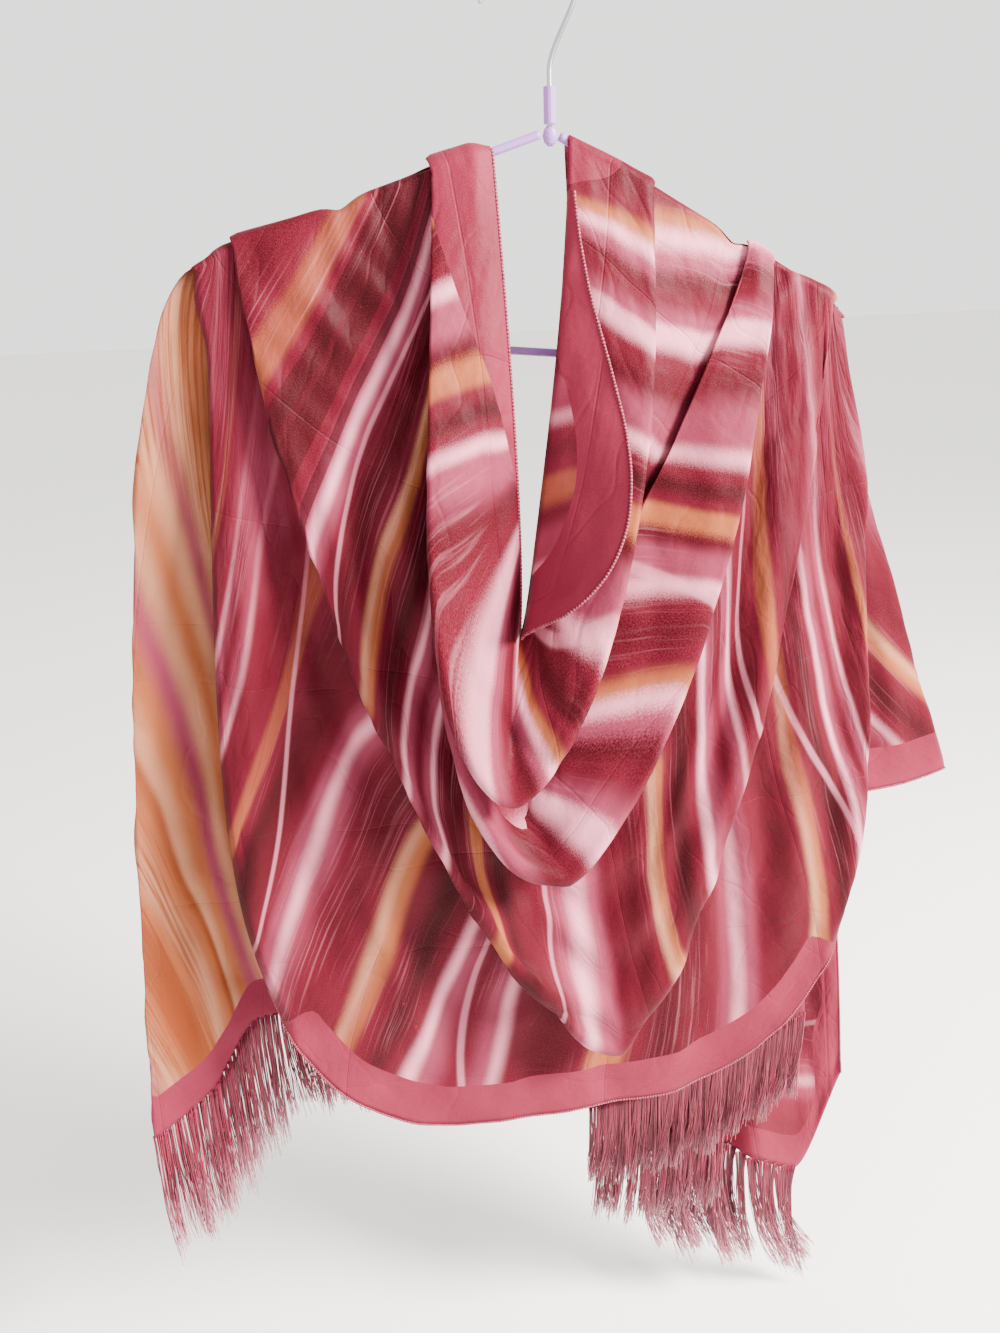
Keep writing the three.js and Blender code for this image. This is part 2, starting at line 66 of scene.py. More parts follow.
# The front drape's rows, from the neckline's edge to the long hem. For the left and the right arm: how far
# along it the row hangs, its lift over the wire, its bow outward, the power of its curve, its sway backward,
# and which way the cloth turns there. Then its low point, and the radius of the turn there.
DRAPE = table(
    ["name", "armL", "liftL", "bowL", "squareL", "backL", "turnL", "lowX", "lowY", "lowZ", "roll",
     "armR", "liftR", "bowR", "squareR", "turnR"], [
        ["edge", 37, 0.9, -2, 3.0, 0, 0, -24, -50, -394, 0, 11, 0.9, -6, 1.35, 0],
        ["throat", 51, 6.7, 12, 3.4, 0, 0, -34, -70, -448, 0, 50, 3.9, 4, 1.2, 0],
        ["fall", 74, 6.2, 22, 3.6, 0, 1, -37, -88, -492, 5, 69, 3.2, 4, 1.5, 1],
        ["fall_tuck", 57, 4.6, 16, 3.4, -3, 1, -36, -69, -460, 2, 56, 1.7, 4, 1.5, 1],
        ["second", 61, 3.85, 17, 3.4, -9, 0, -34, -50, -476, 0, 100, 0.9, -12, 1.3, 0],
        ["strip_tuck", 64, 3.85, 18, 3.4, -8, 0, -30, -50, -496, 0, 148, 1.7, -26, 1.2, -1],
        ["strip_edge", 67, 3.85, 19, 3.4, -1, 0, -24, -60, -520, 0, 142, 3.2, -34, 1.2, -1],
        ["strip", 71, 3.1, 21, 3.8, 10, 1, -3, -78, -556, 7, 160, 3.2, 8, 1.25, 1],
        ["strip_back", 58, 1.6, 14, 3.4, 5, 1, 0, -44, -486, 5, 154, 1.7, 2, 1.3, 1],
        ["shoulder", 96, 0.9, 8, 2.2, 3, 0, 14, -46, -584, 0, 172, 0.9, 2, 1.3, 0],
        ["upper_arm", 146, 1.4, 4, 1.8, 0, 0, 28, -54, -656, 0, 192, 3.4, 2, 1.2, 0],
        ["middle", 196, 3.2, 2, 1.45, 0, 1, 41, -60, -719, 7, 209, 3.4, 5, 1.25, 1],
        ["middle_tuck", 189, 1.7, -10, 1.65, 0, 1, 24, -32, -650, 4, 202, 1.7, 4, 1.4, 1],
        ["column", 204, 0.9, 10, 2.8, 0, 0, 10, -30, -722, 0, 209, 0.9, 20, 2.4, 0],
        ["side", 211, 0.9, 27, 4.2, 0, 0, 2, -34, -766, 0, 214, 0.9, 41, 4.0, 0],
        ["hem", 218, 0.9, 34, 4.4, 0, 0, 0, -36, -793, 0, 220, 0.9, 50, 4.4, 0],
    ])
# The rows of the ends, behind the arms: how far along the arm, the lift over the wire, the power of the
# spread, the sway backward, and the lower end.
CURTAIN = ["name", "arm", "lift", "spread", "swayY", "endX", "endY", "endZ"]
BACK_LEFT = table(CURTAIN, [
    ["inner_edge", 38, 1.0, 1.0, 2, -46, 20, -596],
    ["wave_1", 52, 6.8, 1.0, 6, -68, 40, -640],
    ["wave_2", 73, 6.9, 1.0, 2, -92, 16, -612],
    ["wave_3", 92, 1.5, 1.0, 6, -112, 42, -690],
    ["wave_4", 114, 1.2, 1.0, 2, -136, 16, -655],
    ["wave_5", 138, 1.2, 1.0, 6, -160, 44, -735],
    ["wave_6", 160, 1.6, 0.9, 2, -182, 16, -705],
    ["face", 184, 3.0, 0.6, 0, -222, 20, -710],
    ["face_mid", 198, 3.0, 0.45, 0, -264, 10, -763],
    ["corner", 211, 1.5, 0.42, 0, -308, 0, -790],
    ["long_edge", 215, 3.4, 0.42, 22, -298, 16, -780],
])
BACK_RIGHT = table(CURTAIN, [
    ["left", 132, 0.9, 1.0, 8, 31, -8, -822],
    ["mid", 160, 0.9, 1.0, 8, 118, -11, -806],
    ["right", 205, 0.9, 0.6, 8, 213, -8, -758],
])
TIER_MIDDLE = table(CURTAIN, [
    ["left", 64, 0.9, 1.0, 10, 40, 4, -856],
    ["mid", 92, 0.9, 1.0, 12, 96, 0, -864],
    ["right", 122, 0.9, 1.0, 10, 153, 4, -866],
])
RIGHT_END = table(CURTAIN, [
    ["inner_edge", 11, 2.4, 1.1, 12, 84, 16, -893],
    ["wave_1", 34, 2.6, 1.0, 30, 98, 32, -900],
    ["wave_2", 60, 4.2, 1.0, 18, 112, 11, -903],
    ["wave_3", 88, 2.8, 1.0, 32, 128, 30, -908],
    ["wave_4", 116, 2.6, 1.0, 20, 146, 11, -914],
    ["wave_5", 144, 4.6, 0.9, 32, 166, 28, -920],
    ["wave_6", 170, 3.0, 0.8, 22, 190, 13, -930],
    ["corner", 196, 3.4, 0.6, 26, 226, 13, -946],
    ["long_edge", 208, 4.2, 0.5, 24, 262, 12, -846],
])
SIDE_FLARE = table(CURTAIN, [
    ["front", 213, 1.0, 0.4, 0, 236, 0, -566],
    ["front_mid", 216, 1.0, 0.9, 0, 280, 2, -564],
    ["ridge", 219, 2.1, 1.1, 0, 322, 6, -556],
    ["back", 216, 3.4, 0.9, 2, 284, 12, -562],
    ["rear", 213, 3.4, 0.6, 2, 246, 16, -566],
])
LAPEL = {"width": 61.0, "near": 3.0, "far": 8.0, "top": 0.1, "steps": 18}
OVERLOCK = {"half": 1.1, "stitch": 2.6, "step": 0.9}
FRINGE_TOP = 0.8  # how far the threads start over the cloth's edge


# ---- small sums ----
def unit(v):
    return v / np.maximum(np.linalg.norm(v, axis=-1, keepdims=True), 1e-9)


def smooth(t):
    t = np.clip(t, 0.0, 1.0)
    return t * t * (3 - 2 * t)


def ramp(a, low, high):
    return smooth((a - low) / (high - low))


def bell(a, middle, half_width):
    return np.exp(-((a - middle) / half_width) ** 2)


def length_of(path):
    return np.linalg.norm(np.diff(path, axis=0), axis=1).sum()


def lengths_along(points, axis=0):
    """The length so far at each point of a path or a grid."""
    lengths = np.linalg.norm(np.diff(points, axis=axis), axis=-1)
    return np.insert(np.cumsum(lengths, axis=axis), 0, 0.0, axis=axis)


def evenly(points, steps):
    """A path again, in steps of equal length."""
    lengths = lengths_along(points)
    want = np.linspace(0, lengths[-1], steps + 1)
    return np.stack([np.interp(want, lengths, points[:, k]) for k in range(3)], 1)


def cubic(a, leave, b, arrive, t):
    """From a to b with the given slopes at both ends."""
    t2, t3 = t * t, t * t * t
    return ((2 * t3 - 3 * t2 + 1) * a + (t3 - 2 * t2 + t) * leave
            + (3 * t2 - 2 * t3) * b + (t3 - t2) * arrive)


def hermite(rows, key, k, t, turned=None):
    """A named value between rows k and k + 1, smooth through rows where the cloth doesn't turn."""
    v = [row[key] for row in rows]
    is_lift = key.startswith("lift") and turned is not None

    def step(i):
        return LAYER / 2 * rows[i][turned] if is_lift else 0

    def leaving(i):
        return v[i] - step(i)

    def arriving(i):
        return v[i] + step(i)

    def secant(i):
        return arriving(i + 1) - leaving(i)

    def slope(i, own):
        stops = turned is not None and rows[i][turned] != 0
        if stops or i == 0 or i == len(rows) - 1:
            return own
        a, b = secant(i - 1), secant(i)
        return 0.0 if a * b <= 0 else 2 * a * b / (a + b)

    d = secant(k)
    return cubic(leaving(k), slope(k, d), arriving(k + 1), slope(k + 1, d), t)


# ---- the hanger ----
def tilted(x, z):
    """A point of the hanger, x and z from its neck before it leans."""
    a = math.radians(TILT)
    return np.array([NECK[0] + x * math.cos(a) + z * math.sin(a), 0.0,
                     NECK[2] - x * math.sin(a) + z * math.cos(a)])


def arm_point(side, along, depth):
    """A point on the middle of an arm's wire, which dips by depth at its notch."""
    droop = math.radians(ARM["droop"])
    straight = min(along, ARM["straight"])
    dip = depth * math.exp(-(((along - NOTCH["at"]) / NOTCH["half"]) ** 2))
    x = straight * math.cos(droop)
    z = -straight * math.sin(droop) - dip
    turned = max(0.0, along - ARM["straight"]) / ARM["bend"]
    x += ARM["bend"] * (math.sin(droop + turned) - math.sin(droop))
    z += ARM["bend"] * (math.cos(droop + turned) - math.cos(droop))
    return tilted(side * x, z)


def round_arm(side, along, lift, angle, facing):
    """A point of the cloth over an arm, by its angle from the top; facing is -1 in front and 1 behind."""
    run = unit(arm_point(side, along + 0.5, NOTCH["cloth"]) - arm_point(side, along - 0.5, NOTCH["cloth"]))
    normal = unit(np.array([-side * run[2], 0, side * run[0]]))
    radius = ARM["wire"] + lift
    out = np.array([0, facing * radius * math.sin(angle), 0])
    return arm_point(side, along, NOTCH["cloth"]) + normal * radius * math.cos(angle) + out


def arch(side, along, lift, facing):
    """A row's steps from the top of an arm to where it starts to hang."""
    start = GAP / (ARM["wire"] + lift)
    return [round_arm(side, along, lift, start + (math.pi / 2 - start) * i / ARCH, facing)
            for i in range(ARCH)]


# ---- the drape ----
def branch(p, side):
    """One half of a drape's row, from an arm down to its low point."""
    end = "L" if side < 0 else "R"
    along, lift, bow, square = (p[key + end] for key in ("arm", "lift", "bow", "square"))
    back = p["backL"] if side < 0 else 0.0
    top = round_arm(side, along, lift, math.pi / 2, -1)
    a = np.linspace(0, math.pi / 2, 240)
    down = np.sin(a) ** (2 / square)
    across = 1 - np.clip(np.cos(a), 0, 1) ** (2 / square)
    swell = 1.87 * bow * down * (1 - down ** 4)
    forward = 1 - (1 - down) ** 1.7
    fine = np.stack([
        top[0] + (p["lowX"] - top[0]) * across + side * swell,
        top[1] + (p["lowY"] - top[1]) * forward + back * np.sin(math.pi * down),
        top[2] + (p["lowZ"] - top[2]) * down], 1)
    return np.vstack([arch(side, along, lift, -1), evenly(fine, BRANCH)])


def drape_row(p):
    return np.vstack([branch(p, -1), branch(p, 1)[::-1][1:]])


COLUMNS = 2 * HALF + 1
DOWN = 1 - np.abs(np.arange(COLUMNS) - HALF) / HALF
IS_LEFT = np.arange(COLUMNS) <= HALF


def between(k, t):
    """The drape's values at t between rows k and k + 1."""
    return {key: hermite(DRAPE, key, k, t, "turnR" if key.endswith("R") else "turnL")
            for key in DRAPE[0] if key != "name" and not key.startswith("turn")}


def running_mean(a, n):
    pad = np.pad(a, ((n, n), (0, 0)), mode="edge")
    kernel = np.ones(2 * n + 1) / (2 * n + 1)
    return np.stack([np.convolve(pad[:, k], kernel, "valid") for k in range(a.shape[1])], 1)


def apart(row, following, point):
    """How far a row's point is from the next row's, in mm."""
    return math.dist(*([r[point + axis] for axis in "XYZ"] for r in (row, following)))


def drape_lines():
    """All the drape's lines, and the index of each named row and of the first line after it."""
    named = [drape_row(row) for row in DRAPE]
    turns, layers, tips, radii = [], [], [], []
    for k, row in enumerate(DRAPE):
        turn = np.where(IS_LEFT, row["turnL"], row["turnR"]).astype(float)
        radius = LAYER / 2 + (row["roll"] - LAYER / 2) * np.clip((DOWN - 0.15) / 0.85, 0, 1)
        turns.append(turn)
        radii.append(radius)
        if not turn.any():
            layers.append(None)
            tips.append(None)
            continue
        # the way the fold's tip points, and the side that its layers lie to
        before = drape_row(between(k - 1, 0.82))
        after = drape_row(between(k, 0.18))
        run = unit(np.gradient(named[k], axis=0))
        tip = -(unit(before - named[k]) + unit(after - named[k]))
        tip -= run * np.sum(tip * run, 1, keepdims=True)
        tip = unit(running_mean(unit(tip), 5))
        layer = unit(np.cross(run, tip))
        layer[layer[:, 1] > 0] *= -1
        flip = (np.abs(layer[:, 1]) < 0.5) & (layer[:, 2] < 0)
        layer[flip] *= -1
        layers.append(layer)
        tips.append(tip)

    lines, marks, seams = [], {}, {}
    for k, row in enumerate(DRAPE):
        marks[row["name"]] = len(lines)
        turn, radius = turns[k][:, None], radii[k][:, None]
        if layers[k] is None:
            lines.append(named[k])
        else:
            # half a round of lines from layer to layer, flat where the cloth doesn't turn
            reach = np.abs(turn) * radius
            flat = 0.5 * np.clip(1 - reach / (LAYER / 2), 0, 1)
            before = drape_row(between(k - 1, 0.97))
            after = drape_row(between(k, 0.03))
            for a in np.radians(np.linspace(90, -90, 7)):
                p = named[k] + reach * (math.cos(a) * tips[k] + math.sin(a) * np.sign(turn) * layers[k])
                toward = before if a > 0 else after
                p = p + flat * abs(math.sin(a)) * (toward - named[k])
                lines.append(p)
        if k == len(DRAPE) - 1:
            break
        nxt = DRAPE[k + 1]
        # and the lines between this row and the next
        reach = max(abs(nxt["armL"] - row["armL"]), abs(nxt["armR"] - row["armR"]), apart(row, nxt, "low"))
        n = max(4, math.ceil(reach / PITCH))
        seams[row["name"]] = len(lines)
        for i in range(1, n):
            t = i / n
            line = drape_row(between(k, t))
            if layers[k] is not None:
                line = line - (1 - smooth(t)) * turns[k][:, None] * radii[k][:, None] * layers[k]
            if layers[k + 1] is not None:
                line = line + smooth(t) * turns[k + 1][:, None] * radii[k + 1][:, None] * layers[k + 1]
            lines.append(line)
    return np.array(lines), marks, seams


# ---- curtains ----
def curtain_row(p, side):
    """A row of an end, from the top of an arm down to the short edge."""
    top = round_arm(side, p["arm"], p["lift"], math.pi / 2, 1)
    down = np.linspace(0, 1, 160)
    fine = np.stack([
        top[0] + (p["endX"] - top[0]) * down ** p["spread"],
        top[1] + (p["endY"] - top[1]) * down + p["swayY"] * np.sin(math.pi * down),
        top[2] + (p["endZ"] - top[2]) * down], 1)
    # over the arm it sinks under the strips in front
    over = np.array(arch(side, p["arm"], p["lift"], 1))
    over[:, 2] -= 0.95 * (p["lift"] - 0.9) * (1 - smooth(np.linspace(0, 1, len(over))))
    return np.vstack([over, evenly(fine, CURTAIN_STEPS)])


def curtain_grid(rows, side):
    """An end's rows with smooth ones between them, and the index of each named row."""
    lines, names = [], {}
    for k, row in enumerate(rows):
        names[row["name"]] = len(lines)
        if k == len(rows) - 1:
            lines.append(curtain_row(row, side))
            break
        nxt = rows[k + 1]
        reach = max(abs(nxt["arm"] - row["arm"]), apart(row, nxt, "end"))
        n = max(3, math.ceil(reach / CURTAIN_PITCH))
        for i in range(n):
            p = {key: hermite(rows, key, k, i / n) for key in row if key != "name"}
            lines.append(curtain_row(p, side))
    return np.array(lines), names


# ---- folds placed one by one ----
def noise(u, v, seed, scale):
    """Smooth bumps about 1 high over (u, v) in mm."""
    rng = np.random.default_rng(seed)
    total = np.zeros_like(u)
    for _ in range(9):
        a = rng.uniform(0, 2 * math.pi)
        f = rng.uniform(0.6, 1.7) * 2 * math.pi / scale
        total += np.sin(f * (u * math.cos(a) + v * math.sin(a)) + rng.uniform(0, 6.28))
    return total / 3.0


def normals(grid):
    along = np.gradient(grid, axis=1)
    across = np.gradient(grid, axis=0)
    return unit(np.cross(along, across))


def crease(grid, path, width, depth, ends=0.25):
    """A soft trough (or ridge, depth under 0) along a path of (x, z) points as seen from the front."""
    path = np.array(path, float)
    x, z = grid[..., 0], grid[..., 2]
    best = np.full(x.shape, 1e9)
    place = np.zeros(x.shape)
    lengths = np.linalg.norm(np.diff(path, axis=0), axis=1)
    start = 0.0
    for i in range(len(path) - 1):
        a, b = path[i], path[i + 1]
        d = b - a
        t = np.clip(((x - a[0]) * d[0] + (z - a[1]) * d[1]) / (d @ d), 0, 1)
        dist = np.hypot(x - a[0] - t * d[0], z - a[1] - t * d[1])
        closer = dist < best
        best = np.where(closer, dist, best)
        place = np.where(closer, (start + t * lengths[i]) / lengths.sum(), place)
        start += lengths[i]
    fade = smooth(place / ends) * smooth((1 - place) / ends)
    out = grid.copy()
    out[..., 1] += depth * bell(best, 0, width) * fade
    return out


# ---- meshes ----
def cloth_uv(grid, middle=None):
    """Along each row from its middle column, and across from the first row, in mm."""
    u = lengths_along(grid, 1)
    if middle is not None:
        u = u - u[:, middle:middle + 1]
    return u, lengths_along(grid, 0)


def shell(name, grid, u, v, edge, materials, plain=None):
    """A thin closed shell on a grid, the wrong side of the cloth in the second material."""
    rows, cols = grid.shape[:2]
    n = normals(grid)
    if np.mean(n[..., 1]) > 0:
        n = -n
    front = (grid + n * WALL / 2).reshape(-1, 3)
    back = (grid - n * WALL / 2).reshape(-1, 3)
    count = rows * cols
    idx = np.arange(count).reshape(rows, cols)
    front_faces = np.stack([idx[:-1, :-1].ravel(), idx[:-1, 1:].ravel(), idx[1:, 1:].ravel(),
                            idx[1:, :-1].ravel()], 1)
    rim = np.concatenate([idx[0, :-1], idx[:-1, -1], idx[-1, :0:-1], idx[:0:-1, 0]])
    following = np.roll(rim, -1)
    rim_faces = np.stack([following, rim, rim + count, following + count], 1)
    faces = np.concatenate([front_faces, front_faces[:, ::-1] + count, rim_faces])
    # all are turned over if the front would face inward
    a, b, c, _ = front_faces[len(front_faces) // 2]
    if np.cross(front[b] - front[a], front[c] - front[a]) @ n.reshape(-1, 3)[a] < 0:
        faces = faces[:, ::-1]
    loops = faces.ravel()

    def on_loops(a):
        return np.tile(a.ravel(), 2)[loops]

    quiet = np.zeros(grid.shape[:2]) if plain is None else plain
    index = np.zeros(len(faces), int)
    index[len(front_faces):] = 1
    uvs = {"Cloth": np.stack([on_loops(u) * MM, on_loops(v) * MM], 1),
           "Edge": np.stack([on_loops(edge) * MM, on_loops(quiet)], 1)}
    return made(name, np.concatenate([front, back]), faces.tolist(), uvs, materials, index)


def made(name, points, faces, uvs, materials, index=None):
    """An object in the scene from points in mm, with smooth faces and its UV maps."""
    mesh = bpy.data.meshes.new(name)
    mesh.from_pydata((points * MM).tolist(), [], faces)
    for key, values in uvs.items():
        mesh.uv_layers.new(name=key).data.foreach_set("uv", values.ravel())
    mesh.polygons.foreach_set("use_smooth", np.ones(len(faces), bool))
    if index is not None:
        mesh.polygons.foreach_set("material_index", index)
    for material in materials:
        mesh.materials.append(material)
    mesh.update()
    piece = bpy.data.objects.new(name, mesh)
    bpy.context.collection.objects.link(piece)
    return piece


def tubes(name, paths, radii, sides, material):
    """Many closed tubes in one mesh: each path is an (n, 3) array, and each of radii an (n,) array."""
    points, faces, uvs = [], [], []
    base = 0
    for path, radius in zip(paths, radii):
        run = unit(np.gradient(path, axis=0))
        up = np.array([0, 1.0, 0]) if abs(run[0][1]) < 0.9 else np.array([1.0, 0, 0])
        side = unit(np.cross(run, up))
        top = unit(np.cross(side, run))
        angles = np.linspace(0, 2 * math.pi, sides, endpoint=False)
        outward = (np.cos(angles)[None, :, None] * side[:, None]
                   + np.sin(angles)[None, :, None] * top[:, None])
        points.append((path[:, None] + radius[:, None, None] * outward).reshape(-1, 3))
        n = len(path)
        i = np.arange(n - 1)[:, None] * sides
        k = np.arange(sides)[None, :]
        k2 = (k + 1) % sides
        quads = np.stack([i + k, i + k2, i + sides + k2, i + sides + k], -1).reshape(-1, 4) + base
        faces.extend(quads.tolist())
        faces.append((np.arange(sides)[::-1] + base).tolist())
        faces.append((np.arange(sides) + base + (n - 1) * sides).tolist())
        uvs.append(np.stack([np.repeat(lengths_along(path), sides) * MM, np.tile(angles / 6.2832, n)], 1))
        base += n * sides
    loops = np.concatenate([np.array(face) for face in faces])
    return made(name, np.concatenate(points), faces, {"Thread": np.concatenate(uvs)[loops]}, [material])


def hold(piece, node=None):
    """The piece rides on the one body, in place of the node, if one is given."""
    if node:
        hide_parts(node)
    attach(piece, "root")


# ---- materials ----
def srgb(*rgb):
    """A colour as numbers up to 255, in linear light."""
    shares = [c / 255 for c in rgb]
    return tuple(c / 12.92 if c <= 0.04045 else ((c + 0.055) / 1.055) ** 2.4 for c in shares) + (1.0,)


COLOURS = {
    "border": srgb(144, 52, 72),
    "rose": srgb(102, 22, 37),
    "deep": srgb(84, 13, 24),
    "dark": srgb(64, 8, 13),
    "white": srgb(224, 150, 166),
    "pink": srgb(146, 64, 84),
    "peach": srgb(164, 96, 62),
    "orange": srgb(140, 70, 34),
    "light": srgb(184, 130, 102),
}
BLACK, WHITE = (0, 0, 0, 1), (1, 1, 1, 1)


class Nodes:
    """A new material, and short names for its nodes."""

    def __init__(self, name):
        self.material = bpy.data.materials.new(name)
        self.material.use_nodes = True
        self.tree = self.material.node_tree
        self.tree.nodes.clear()

    def add(self, kind, inputs, **settings):
        """A node with its settings, and a constant or a link for each named input."""
        node = self.tree.nodes.new(kind)
        for key, value in settings.items():
            setattr(node, key, value)
        for key, value in inputs.items():
            if hasattr(value, "links"):
                self.tree.links.new(value, node.inputs[key])
            else:
                node.inputs[key].default_value = value
        return node

    def math(self, operation, *values):
        return self.add("ShaderNodeMath", dict(enumerate(values)), operation=operation).outputs[0]

    def times(self, a, b):
        return self.math("MULTIPLY", a, b)

    def less_half(self, value):
        return self.math("SUBTRACT", value, 0.5)

    def mix(self, factor, a, b):
        return self.add("ShaderNodeMix", {0: factor, 6: a, 7: b}, data_type="RGBA").outputs[2]

    def uv(self, name):
        """A UV map, and its two coordinates."""
        uv = self.add("ShaderNodeUVMap", {}, uv_map=name).outputs[0]
        split = self.add("ShaderNodeSeparateXYZ", {0: uv})
        return uv, split.outputs[0], split.outputs[1]

    def noise(self, vector, x, y, detail=2.0, rough=0.5, z=1.0):
        """Noise, with a scale for each axis."""
        mapped = self.add("ShaderNodeMapping", {"Vector": vector, "Scale": (x, y, z)}).outputs[0]
        return self.add("ShaderNodeTexNoise", {"Vector": mapped, "Scale": 1.0, "Detail": detail,
                                               "Roughness": rough}).outputs["Fac"]

    def ramp(self, factor, stops, mode="EASE"):
        node = self.add("ShaderNodeValToRGB", {0: factor})
        ramp = node.color_ramp
        ramp.interpolation = mode
        while len(ramp.elements) < len(stops):
            ramp.elements.new(0.5)
        for element, (place, colour) in zip(ramp.elements, sorted(stops, key=lambda s: s[0])):
            element.position = place
            element.color = COLOURS[colour] if isinstance(colour, str) else colour
        return node.outputs[0]

    def mask(self, factor, low, high, mode="EASE"):
        return self.ramp(factor, [(low, BLACK), (high, WHITE)], mode)

    def bump(self, height, strength, distance):
        return self.add("ShaderNodeBump", {"Height": height, "Strength": strength,
                                           "Distance": distance}).outputs[0]

    def principled(self, inputs):
        return self.add("ShaderNodeBsdfPrincipled", inputs)

    def finished(self, shader):
        self.add("ShaderNodeOutputMaterial", {0: shader.outputs[0]})
        return self.material


# Bands of the print over one repeat: where each colour is at its fullest.
PRINT = {
    "neck": {
        "rose": [0.00, 0.15, 0.305, 0.41, 0.665, 0.75, 1.00], "white": [0.05, 0.075, 0.25, 0.45, 0.79],
        "pink": [0.10, 0.22, 0.48, 0.52, 0.82, 0.86], "deep": [0.185, 0.36, 0.57, 0.93],
        "peach": [0.275, 0.61, 0.64], "dark": [0.71],
    },
    "front": {
        "rose": [0.00, 0.09, 0.21, 0.295, 0.47, 0.61, 0.72, 0.795, 0.90, 1.00],
        "pink": [0.045, 0.51, 0.57, 0.95], "white": [0.065, 0.54, 0.93], "deep": [0.15, 0.42, 0.67],
        "peach": [0.24, 0.27, 0.77], "dark": [0.35, 0.85], "light": [0.745],
    },
    "end": {
        "light": [0.00, 0.14, 0.44, 0.60, 0.84, 1.00], "pink": [0.07, 0.76],
        "peach": [0.20, 0.36, 0.52, 0.68, 0.92], "orange": [0.26, 0.32, 0.57],
    },
}
# Brush streaks: where they start and are full, where their patches start, their strength and colour.
FRONT_STREAKS = (0.54, 0.70, 0.46, 0.22, "white")
END_STREAKS = (0.47, 0.60, 0.40, 0.75, "orange")
BAR_BLUR = 0.008


def cloth(name, stripes, repeat, along=1.0, across=0.1, offset=0.0, wrong=False, bars=None, ground=0.55):
    """Printed crepe: soft bands, a plain border, pressed lines, a fine grain and a soft sheen."""
    n = Nodes(name)
    uv, u, v = n.uv("Cloth")
    _, edge, plain = n.uv("Edge")
    is_end = stripes == "end"
    # over the bands, and along them
    over = n.math("MULTIPLY_ADD", v, across, n.times(u, along))
    beside = n.math("MULTIPLY_ADD", v, along, n.times(u, -across))
    banded = n.add("ShaderNodeCombineXYZ", {0: over, 1: beside}).outputs[0]
    waver = n.times(n.less_half(n.noise(banded, 5, 4, 1.0)), 0.075)
    grain = n.noise(uv, 1300, 1300, 2.0, 0.6)
    place = n.math("ADD", n.math("ADD", over, waver), n.times(n.less_half(grain), 0.010))
    bands = [(at, name) for name, places in PRINT[stripes].items() for at in places]
    colour = n.ramp(n.math("FRACT", n.math("ADD", n.math("DIVIDE", place, repeat), offset)), bands)
    # the bands come and go along their length over a quieter ground
    quiet = COLOURS["light" if is_end else "rose"]
    colour = n.mix(n.times(n.mask(n.noise(banded, 7, 3.2), 0.44, 0.66), ground), colour, quiet)
    # a plainer ground where the cloth says so
    clouds = n.mask(n.noise(uv, 9, 9), 0.42, 0.70)
    colour = n.mix(plain, colour, n.mix(n.times(clouds, 0.75), quiet, COLOURS["pink"]))
    # brush streaks along the bands
    first, full, wide, strength, brushed = END_STREAKS if is_end else FRONT_STREAKS
    streak = n.mask(n.noise(banded, 330, 7, 3.0, 0.6), first, full, "LINEAR")
    patch = n.mask(n.noise(banded, 9, 5, 1.0), wide, wide + 0.14)
    colour = n.mix(n.times(n.times(streak, patch), strength), colour, COLOURS[brushed])
    if bars:
        low, high = bars[0][0], bars[-1][1]
        span = n.math("DIVIDE", n.math("SUBTRACT", n.math("ADD", over, waver), low), high - low)
        stops = [(0.0, BLACK)]
        for start, stop in bars:
            a, b = (start - low) / (high - low), (stop - low) / (high - low)
            stops += [(a, BLACK), (a + BAR_BLUR, WHITE), (b - BAR_BLUR, WHITE), (b, BLACK)]
        colour = n.mix(n.times(n.ramp(span, stops, "LINEAR"), 0.72), colour, COLOURS["dark"])
    if is_end:
        # deep where it leaves the arm
        colour = n.mix(n.ramp(n.times(u, 10.0), [(0.16, WHITE), (0.42, BLACK)]), colour, COLOURS["deep"])
    else:
        # a thin curved line here and there
        line = n.math("MULTIPLY_ADD", n.noise(uv, 2.2, 2.2, 0.0), 0.9, n.times(over, 3.1))
        near = n.math("ABSOLUTE", n.less_half(n.math("FRACT", line)))
        thin = n.ramp(near, [(0.0, WHITE), (0.007, WHITE), (0.013, BLACK)], "LINEAR")
        shown = n.times(thin, n.math("SUBTRACT", 0.5, n.times(plain, 0.5)))
        colour = n.mix(shown, colour, COLOURS["white"])
    # the border
    shade = n.mask(n.noise(uv, 5, 5), 0.40, 0.62)
    border = n.mix(n.times(shade, 0.6), COLOURS["border"], COLOURS["rose"])
    colour = n.mix(n.math("GREATER_THAN", edge, BORDER * MM), border, colour)
    # painted sheen: the crepe's grain catches the light in fine pale specks
    colour = n.mix(n.times(n.mask(grain, 0.42, 0.68, "LINEAR"), 0.08), colour, COLOURS["white"])
    if wrong:
        colour = n.mix(0.32, colour, srgb(168, 70, 88))
    normal = n.bump(relief(n, uv, u, v, grain), 0.7, 0.0010)
    face = n.principled({"Base Color": colour, "Roughness": 0.62 if wrong else 0.50, "Normal": normal,
                         "Sheen Weight": 0.05, "Sheen Roughness": 0.4, "Specular IOR Level": 0.12})
    glow = n.add("ShaderNodeBsdfTranslucent", {"Color": colour, "Normal": normal})
    return n.finished(n.add("ShaderNodeMixShader", {0: 0.20, 1: face.outputs[0], 2: glow.outputs[0]}))


